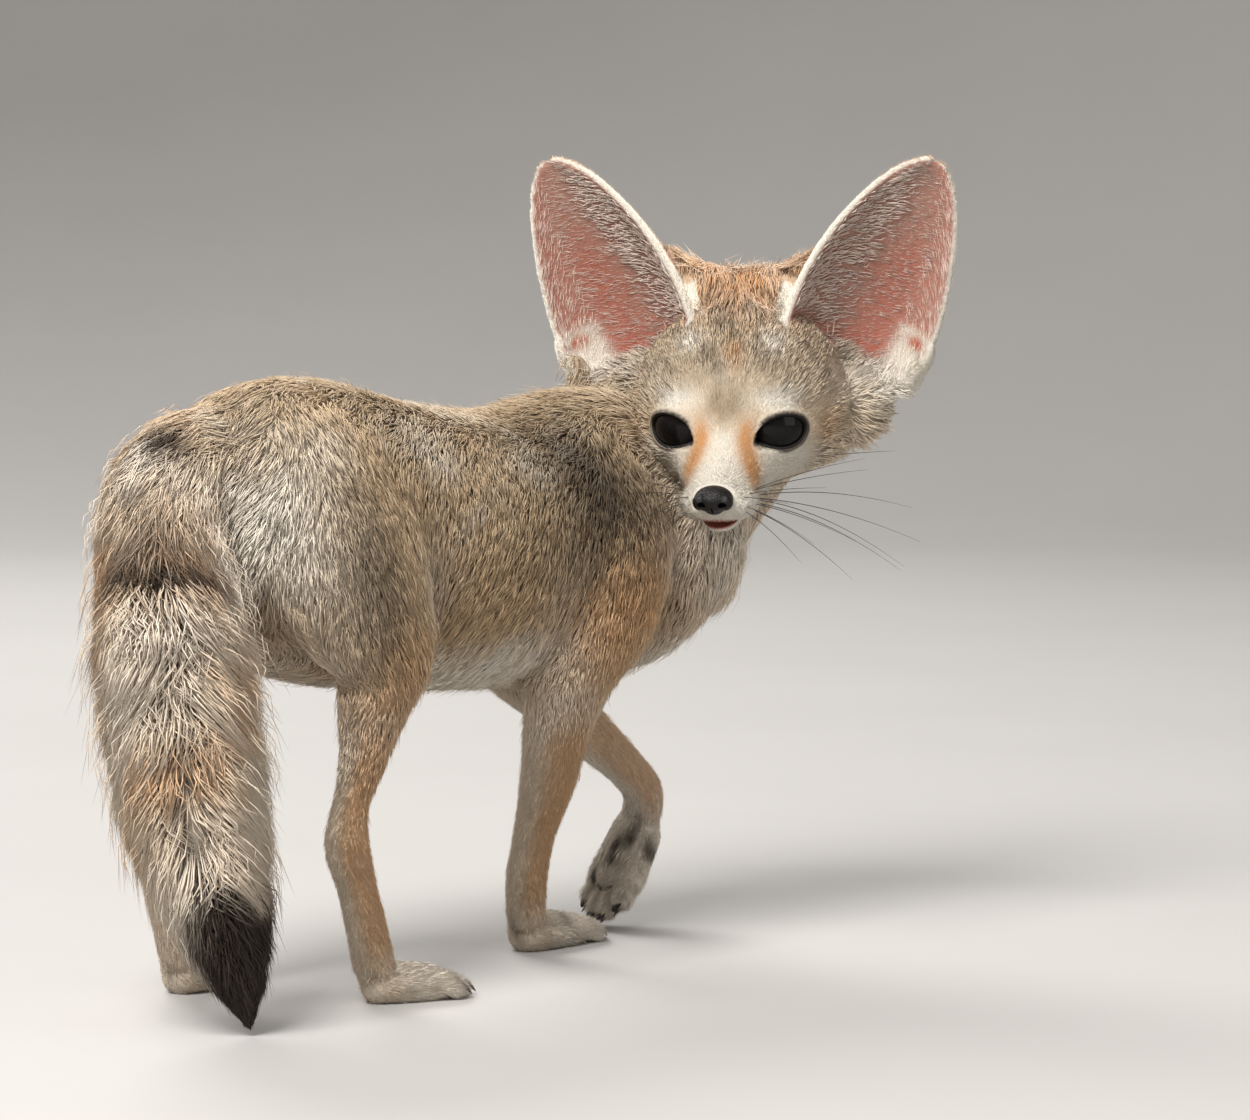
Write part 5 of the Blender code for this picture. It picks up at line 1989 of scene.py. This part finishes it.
    def gather(
        self, roots: Array, tips: Array, length: Array, every: int, most: Any, rng: np.random.Generator
    ) -> Tuple[Array, Array]:
        """Draws the tips of neighbouring tufts together into locks.

        Args:
            roots: the tufts' roots.
            tips: the tufts' tips.
            length: the tufts' lengths.
            every: how many tufts make a lock.
            most: the largest share of the way that a tip is drawn.
            rng: the source of chance.

        Returns:
            The new tips, and which tuft leads each one.
        """
        picked = rng.permutation(len(roots))[: max(1, len(roots) // every)]
        tree = KDTree(len(picked))
        for k in picked:
            tree.insert(Vector(roots[k]), int(k))
        tree.balance()
        nearest = [tree.find(Vector(p)) for p in roots]
        lead = np.array([n[1] for n in nearest])
        gap = np.array([n[2] for n in nearest])
        pull = rng.uniform(0.2, 1.0, len(roots)) * most * step(length, 2.5, 9) * (gap < length * 0.8)
        return tips + (tips[lead] - tips) * pull[:, None], lead

    def mesh(self, name: str, strand: Strand, tufts: Tufts, shift: Array) -> Object:
        """Makes one piece of closed tufts, each a bent three-sided spindle, or a straight spike if short.

        Args:
            name: the piece's name.
            strand: the form of its tufts.
            tufts: the tufts.
            shift: from the body's frame to the model's.

        Returns:
            The piece.
        """
        up = tufts.normals
        side = unit(np.cross(tufts.tips - tufts.roots, up))
        base = tufts.roots - up * 0.35
        wide = tufts.width[:, None] * (1.0 if strand is LONG else 0.75)
        centre, parts = (tufts.mids, [base]) if strand is LONG else (base, [])
        parts += [centre + side * wide / 2, centre - side * wide / 2, centre + up * wide * 0.55, tufts.tips]
        size = len(parts)
        flat = np.stack(parts, axis=1).reshape(-1, 3) + shift
        flat[:, 2] = np.maximum(flat[:, 2], self.floor)
        starts = np.arange(len(up)) * size
        faces = (np.array(strand.faces)[None] + starts[:, None, None]).reshape(-1, 3)
        mesh = bpy.data.meshes.new(name)
        mesh.vertices.add(len(flat))
        mesh.vertices.foreach_set("co", (flat * MM).ravel())
        mesh.loops.add(faces.size)
        mesh.loops.foreach_set("vertex_index", faces.ravel().astype(np.int32))
        mesh.polygons.add(len(faces))
        mesh.polygons.foreach_set("loop_start", np.arange(0, faces.size, 3, dtype=np.int32))
        mesh.polygons.foreach_set("use_smooth", np.ones(len(faces), bool))
        mesh.update(calc_edges=True)
        along, tone = np.tile(strand.along, len(up)), np.repeat(tufts.tone, size)
        write_marks(mesh, np.repeat(tufts.marks, size, axis=0), along, tone)
        corner = tufts.patch[:, None] + np.array(strand.unwrap)[None] - PATCH / 2
        layer = mesh.uv_layers.new(name="OFBake")
        layer.data.foreach_set("uv", corner.reshape(-1, 2)[faces.ravel()].ravel())
        return place_object(name, mesh)


def write_marks(mesh: bpy.types.Mesh, marks: Array, along: Array, tone: Array) -> None:
    """Writes what the coat's finishes read, as two colour attributes.

    Args:
        mesh: the mesh to write on.
        marks: the markings of its vertices, one column for each Mark.
        along: how far along its strand each vertex is.
        tone: how pale its strand is.
    """
    for name, values in (("marks", marks[:, :4]), ("strand", np.column_stack([along, tone, marks[:, 4:]]))):
        layer = mesh.attributes.new(name, "FLOAT_COLOR", "POINT")
        layer.data.foreach_set("color", np.ascontiguousarray(values, np.float32).ravel())


# ---- the animal ----


@dataclass
class Fox:
    """The whole animal on its floor, and the finishes of its small pieces.

    A whisker is cut to the first of the shares that keeps it clear of the skin, and inside the model's box
    with a margin. Lengths are in millimetres.
    """

    trunk: Trunk = field(default_factory=Trunk)
    head: Head = field(default_factory=Head)
    pelt: Pelt = field(default_factory=Pelt)
    coat: Coat = field(default_factory=Coat)
    eye: Wet = Wet("eye_gloss", (0.0035, 0.003, 0.003), 0.04)
    lid: Leather = Leather("lid_leather", (0.007, 0.006, 0.0055), (0.016, 0.013, 0.012), 0.4, 2600, 0.0002)
    nose: Leather = Leather(
        "nose_leather", (0.005, 0.0045, 0.0045), (0.013, 0.011, 0.011), 0.3, 2300, 0.00022
    )
    sole: Leather = Leather("pad_leather", (0.02, 0.016, 0.014), (0.05, 0.04, 0.035), 0.5, 1500)
    hair: Horn = Horn("whisker_hair", (0.012, 0.01, 0.009), (0.05, 0.04, 0.035), 0.4)
    horn: Horn = Horn("claw_horn", (0.02, 0.015, 0.012), (0.11, 0.08, 0.06), 0.3)
    margin: float = 3.5
    clear: float = 0.6
    shares: Row = (1.0, 0.88, 0.76, 0.66, 0.56, 0.46, 0.38, 0.3)
    skin_most: int = 188000

    def __post_init__(self) -> None:
        """Finds the shift from the body's frame to the model's, by the left eye, and the model's box."""
        low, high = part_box("eye_left")
        middle = np.array((low + high) / 2) / MM
        self.shift = middle - self.head.place.out(self.head.eye_centre(Side.LEFT))
        self.box = [np.array(corner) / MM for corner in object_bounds()]

    def declare(self, obj: Object, slot: str, *nodes: str) -> None:
        """Says what a piece rides on, and hides the nodes that it stands for.

        Args:
            obj: the piece.
            slot: its material slot; not used.
            *nodes: the nodes that it replaces.
        """
        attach(obj, "root")
        if nodes:
            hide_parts(*nodes)
        LOG.info("%s: %d triangles", obj.name, triangles(obj))

    def clay(self) -> Clay:
        """New clay in the head's frame."""
        return Clay(self.head.place, self.shift)

    def build_skin(self) -> Object:
        """Builds the one skin of body, head and ears.

        Returns:
            The skin, with its unwrap, its markings and its finish.
        """
        skin = self.trunk.build(self.shift)
        combine(skin, "UNION", self.head.build(self.shift))
        add_modifier(skin, "DECIMATE", ratio=min(1, self.skin_most / triangles(skin)))
        apply_modifiers(skin)
        skin.name = skin.data.name = "skin"
        dress(skin, self.pelt.skin())
        self.unwrap(skin)
        mesh = skin.data
        places, normals = read(mesh.vertices, "co", 3) / MM - self.shift, read(mesh.vertices, "normal", 3)
        marks = Survey(self.trunk, self.head, places, normals).marks()
        write_marks(mesh, marks, *np.zeros((2, len(marks))))
        faces = [tuple(face.vertices) for face in mesh.polygons]
        self.surface = BVHTree.FromPolygons([tuple(p) for p in places], faces)
        return skin

    def unwrap(self, skin: Object) -> None:
        """Unwraps the skin into islands that don't overlap.

        Args:
            skin: the skin.
        """
        for layer in list(skin.data.uv_layers):
            skin.data.uv_layers.remove(layer)
        skin.data.uv_layers.new(name="OFBake")
        bpy.context.view_layer.objects.active = skin
        skin.select_set(True)
        bpy.ops.object.mode_set(mode="EDIT")
        bpy.ops.mesh.select_all(action="SELECT")
        bpy.ops.uv.smart_project(angle_limit=math.radians(72), island_margin=0.002)
        bpy.ops.object.mode_set(mode="OBJECT")
        skin.select_set(False)

    def build_eye(self, side: Side) -> Object:
        """Builds one eyeball.

        Args:
            side: which eye.

        Returns:
            The piece, without a finish.
        """
        clay = self.clay()
        clay.ball(self.head.eye_centre(side), (self.head.eye_radius,) * 3, fine=5)
        return clay.shape(f"eyeball_{side.name.lower()}")

    def build_lids(self, side: Side) -> Object:
        """Builds the dark edge of the lids as a soft ring on the ball.

        Args:
            side: which eye.

        Returns:
            The piece, without a finish.
        """
        count, ring = 72, 10
        edge = self.head.rim(side, self.head.eye_radius + 0.4, count)
        out = unit(edge - self.head.eye_centre(side))
        along = unit(np.roll(edge, -1, axis=0) - np.roll(edge, 1, axis=0))
        across = np.cross(along, out)
        rows = []
        for k in range(ring):
            a = math.tau * k / ring
            rows.append(edge + across * 0.85 * math.cos(a) + out * 0.6 * math.sin(a))
        faces = []
        for i in range(count):
            for k in range(ring):
                j, m = (i + 1) % count, (k + 1) % ring
                faces.append((i * ring + k, j * ring + k, j * ring + m, i * ring + m))
        clay = self.clay()
        clay.add(np.stack(rows, axis=1).reshape(-1, 3), faces)
        return clay.shape(f"lid_edge_{side.name.lower()}")

    def build_nose(self) -> Object:
        """Builds the nose pad with its nostrils and the groove below.

        Returns:
            The piece, without a finish.
        """
        x, y, z = self.head.nose_at
        clay = self.clay()
        clay.ball((x, y, z), (5.2, 6.6, 4.4), (0, 8, 0))
        clay.ball((x - 0.6, y, z - 2.2), (4.4, 4.0, 3.4))
        for s in (-1, 1):
            clay.ball((x + 1.6, y + 4.2 * s, z - 0.4), (3.2, 2.6, 2.9), (0, 0, 20 * s))
        nose = clay.melt("nose_pad", 0.34, 5)
        cuts = [((x + 4.3, y + 3.4 * s, z - 0.7), (3.2, 1.35, 1.05), (0, 0, 38 * s)) for s in (-1, 1)]
        cuts.append(((x + 4.4, y, z - 4.2), (1.6, 0.42, 3.6), (0, -12, 0)))
        for cut in cuts:
            cutter = self.clay()
            cutter.ball(*cut, 3)
            combine(nose, "DIFFERENCE", cutter.shape("nostril"))
        return nose

    def whisker(self, start: Point, side: int, aim: Row, length: float, droop: float) -> Rod:
        """One whisker, kept clear of the skin and inside the model's box.

        Args:
            start: its root in the head's frame, for the left side.
            side: 1 on the left and -1 on the right.
            aim: which way it leaves the skin.
            length: its full length in millimetres.
            droop: how far its tip sinks, as a share of its length.

        Returns:
            The whisker.
        """
        flip = np.array([1, side, 1])
        share = np.linspace(0, 1, 15)[:, None]
        away = unit(np.array(aim, float))
        for shrink in self.shares:
            reach = length * shrink
            local = np.array(start) + away * reach * share + np.array([-0.34, 0, -droop]) * reach * share**2
            path = self.head.place.out(local * flip) + self.shift
            inside = (path > self.box[0] - self.margin) & (path < self.box[1] + self.margin)
            if not inside.all():
                continue
            hits = [self.surface.find_nearest(Vector(p))[:2] for p in path[3:] - self.shift]
            gap = [(Vector(p) - hit).dot(normal) for p, (hit, normal) in zip(path[3:] - self.shift, hits)]
            if min(gap) > self.clear:
                break
        radii = 0.125 * (1 - share[:, 0] ** 1.6) + 0.03
        return Rod(path * MM, radii * MM)

    def build_whiskers(self) -> Object:
        """Builds the whiskers of pads, brows, cheeks and chin.

        Returns:
            The piece, with its finish.
        """
        rng = np.random.default_rng(8)
        rods = []
        for side in (1, -1):
            for row in range(3):
                for k in range(4):
                    start = (48.6 - 2.7 * k, 8.2 + 0.95 * k - 0.25 * row, -11.8 - 1.9 * row - 0.2 * k)
                    aim = (0.45 - 0.36 * k, 1.0, 0.12 - 0.26 * row + 0.03 * k)
                    reach = (27 + 11 * k) * rng.uniform(0.85, 1.12) * (1.0 if row else 0.75)
                    start = np.array(start) + rng.normal(0, 0.22, 3)
                    aim = np.array(aim) + rng.normal(0, 0.06, 3)
                    rods.append(self.whisker(start, side, aim, reach, 0.22 + 0.14 * row))
            rods.append(self.whisker((17.0, 18.5, 14.0), side, (0.3, 0.7, 1.0), 13.0, 0.2))
            rods.append(self.whisker((19.0, 30.0, -8.0), side, (0.1, 1.0, 0.15), 26.0, 0.15))
        for k in (-1, 0, 1):
            rods.append(self.whisker((40.0, 3.0 * abs(k), -26.0), k or 1, (0.2, 0.4, -1.0), 8.0, 0.0))
        return RodTree("rods_whisker", self.hair.make()).build("whiskers", rods, 5)

    def build_claws(self) -> Object:
        """Builds a bent claw on every toe.

        Returns:
            The piece, with its finish.
        """
        rods = []
        share = np.linspace(0, 1, 8)[:, None]
        radii = 1.15 * (1 - share[:, 0] ** 1.5) + 0.1
        for paw in self.trunk.paws:
            ahead, _, back, _ = paw.axes()
            for _, _, tip in paw.toes():
                path = tip + ahead * (0.6 + 4.6 * share) + back * (1.7 - 0.3 * share - 2.5 * share**2)
                path = path + self.shift
                path[:, 2] = np.maximum(path[:, 2], radii + 0.15)
                rods.append(Rod(path * MM, radii * MM))
        return RodTree("rods_claw", self.horn.make()).build("claws", rods, 8)

    def build_pads(self) -> Object:
        """Builds the bare pads under the raised paw.

        Returns:
            The piece, without a finish.
        """
        clay = Clay(BODY, self.shift)
        paw = next(paw for paw in self.trunk.paws if paw.name == "fore_raised")
        ahead, side, back, length = paw.axes()
        heel = np.array(paw.heel, float)
        axes = np.column_stack([ahead, side, back])
        middle = heel + ahead * length * 0.5 - back * 5.4
        clay.ball(middle, (5.2, 6.2, 2.3), spin=axes)
        for s in (-1, 1):
            clay.ball(middle - ahead * 2.6 + side * 4.0 * s, (3.4, 3.0, 2.1), spin=axes)
        clay.ball(heel - ahead * 4.0 - back * 6.4, (2.6, 2.4, 2.0), spin=axes)
        for _, _, tip in paw.toes():
            clay.ball(tip - ahead * 0.6 - back * 2.0, (3.4, 2.2, 1.7), spin=axes)
        return clay.melt("paw_pads", 0.45, 3)

    def build(self) -> None:
        """Builds, dresses and declares every piece."""
        skin = self.build_skin()
        self.declare(
            skin, "coat", "head", "neck", "torso", "tail", "leg_fore_left", "leg_fore_right", "leg_hind_left",
            "leg_hind_right", "ear_left", "ear_right",
        )
        hair = self.pelt.tufts()
        for piece in self.coat.grow(skin, self.trunk, self.head, self.shift):
            self.declare(dress(piece, hair), "ear" if "_ear_" in piece.name else "coat")
        wet, rim = self.eye.make(), self.lid.make()
        for side in Side:
            self.declare(dress(self.build_eye(side), wet), "eye", f"eye_{side.name.lower()}")
            self.declare(dress(self.build_lids(side), rim), "nose")
        self.declare(dress(self.build_nose(), self.nose.make()), "nose", "nose")
        self.declare(self.build_whiskers(), "nose")
        self.declare(self.build_claws(), "nose")
        self.declare(dress(self.build_pads(), self.sole.make()), "nose")


@dataclass(frozen=True)
class Lamp:
    """A soft square light: its place and size in metres, its power and its colour."""

    name: str
    place: Row
    size: float
    power: float
    colour: Colour

    def build(self, target: Row) -> None:
        """Adds the light, turned towards a place.

        Args:
            target: the place, in metres.
        """
        data = bpy.data.lights.new(self.name, "AREA")
        data.size, data.energy, data.color = self.size, self.power, self.colour
        light = place_object(self.name, data)
        light.location = self.place
        light.rotation_euler = (Vector(target) - Vector(self.place)).to_track_quat("-Z", "Y").to_euler()


@dataclass
class Studio:
    """Floor, backdrop, lights and camera."""

    camera_at: Row = (-1130.0, -1031.0, 262.0)
    heading: float = 40.0
    dip: float = 4.574
    lens: float = 132.48
    target: Row = (0.0, 0.0, 0.12)
    sky: Colour = (1.0, 0.985, 0.96)
    sky_power: float = 0.33
    lamps: Sequence[Lamp] = (
        Lamp("key", (-1.35, -0.35, 1.65), 1.0, 70.0, (1.0, 0.975, 0.94)),
        Lamp("fill", (0.3, -1.9, 0.8), 1.4, 8.0, (1.0, 0.985, 0.965)),
        Lamp("rim", (0.6, 1.5, 1.5), 1.0, 34.0, (1.0, 0.98, 0.95)),
    )
    flat: float = 1.9
    sweep: float = 1.2
    wall: Row = (2.6, 4.0)
    paper: Sequence[Colour] = ((0.44, 0.43, 0.42), (0.47, 0.46, 0.45))

    def build(self, shift: Array) -> None:
        """Builds the studio round the animal.

        Args:
            shift: from the body's frame to the model's.
        """
        self.add_floor()
        self.add_camera(shift)
        world = bpy.data.worlds.new("studio")
        world.use_nodes = True
        sky = world.node_tree.nodes["Background"]
        sky.inputs[0].default_value = (*self.sky, 1.0)
        sky.inputs[1].default_value = self.sky_power
        bpy.context.scene.world = world
        for lamp in self.lamps:
            lamp.build(self.target)
        bpy.context.scene.view_settings.view_transform = "Standard"

    def add_camera(self, shift: Array) -> None:
        """Adds the camera at the photograph's angle.

        Args:
            shift: from the body's frame to the model's.
        """
        data = bpy.data.cameras.new("camera")
        data.lens, data.sensor_width = self.lens, 36.0
        camera = place_object("camera", data)
        camera.location = (np.array(self.camera_at) + shift) * MM
        camera.rotation_euler = (math.radians(90 - self.dip), 0, math.radians(self.heading - 90))
        bpy.context.scene.camera = camera

    def add_floor(self) -> None:
        """Adds a round floor that curves up into a backdrop all round."""
        profile = [(0.6, 0.0), (1.2, 0.0), (self.flat, 0.0)]
        for k in range(1, 13):
            a = math.radians(90 * k / 12)
            profile.append((self.flat + self.sweep * math.sin(a), self.sweep - self.sweep * math.cos(a)))
        profile += [(self.flat + self.sweep, height) for height in self.wall]
        count = 96
        turns = [math.tau * k / count for k in range(count)]
        points = [(0.0, 0.0, 0.0)]
        for radius, height in profile:
            points += [(radius * math.cos(turn), radius * math.sin(turn), height) for turn in turns]
        faces = [(0, 1 + k, 1 + (k + 1) % count) for k in range(count)]
        for low in range(1, 1 + (len(profile) - 1) * count, count):
            for k in range(count):
                m = (k + 1) % count
                faces.append((low + k, low + count + k, low + count + m, low + m))
        graph = Graph("floor_paper")
        finish = graph.surface(Base_Color=graph.mix(*self.paper, graph.grain(6.0)), Roughness=0.9)
        floor = dress(new_mesh("floor", np.array(points), faces), finish)
        floor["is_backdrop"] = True


def corners(box: Tuple[Any, Any]) -> List[List[float]]:
    """A box's two corners as plain lists."""
    return [[float(value) for value in corner] for corner in box]


def main() -> None:
    """Builds the fox and its studio."""
    logging.basicConfig(level=logging.INFO, format="%(message)s")
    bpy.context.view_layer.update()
    fox = Fox()
    fox.build()
    Studio().build(fox.shift)
    bpy.context.view_layer.update()


if __name__ == "__main__":
    main()
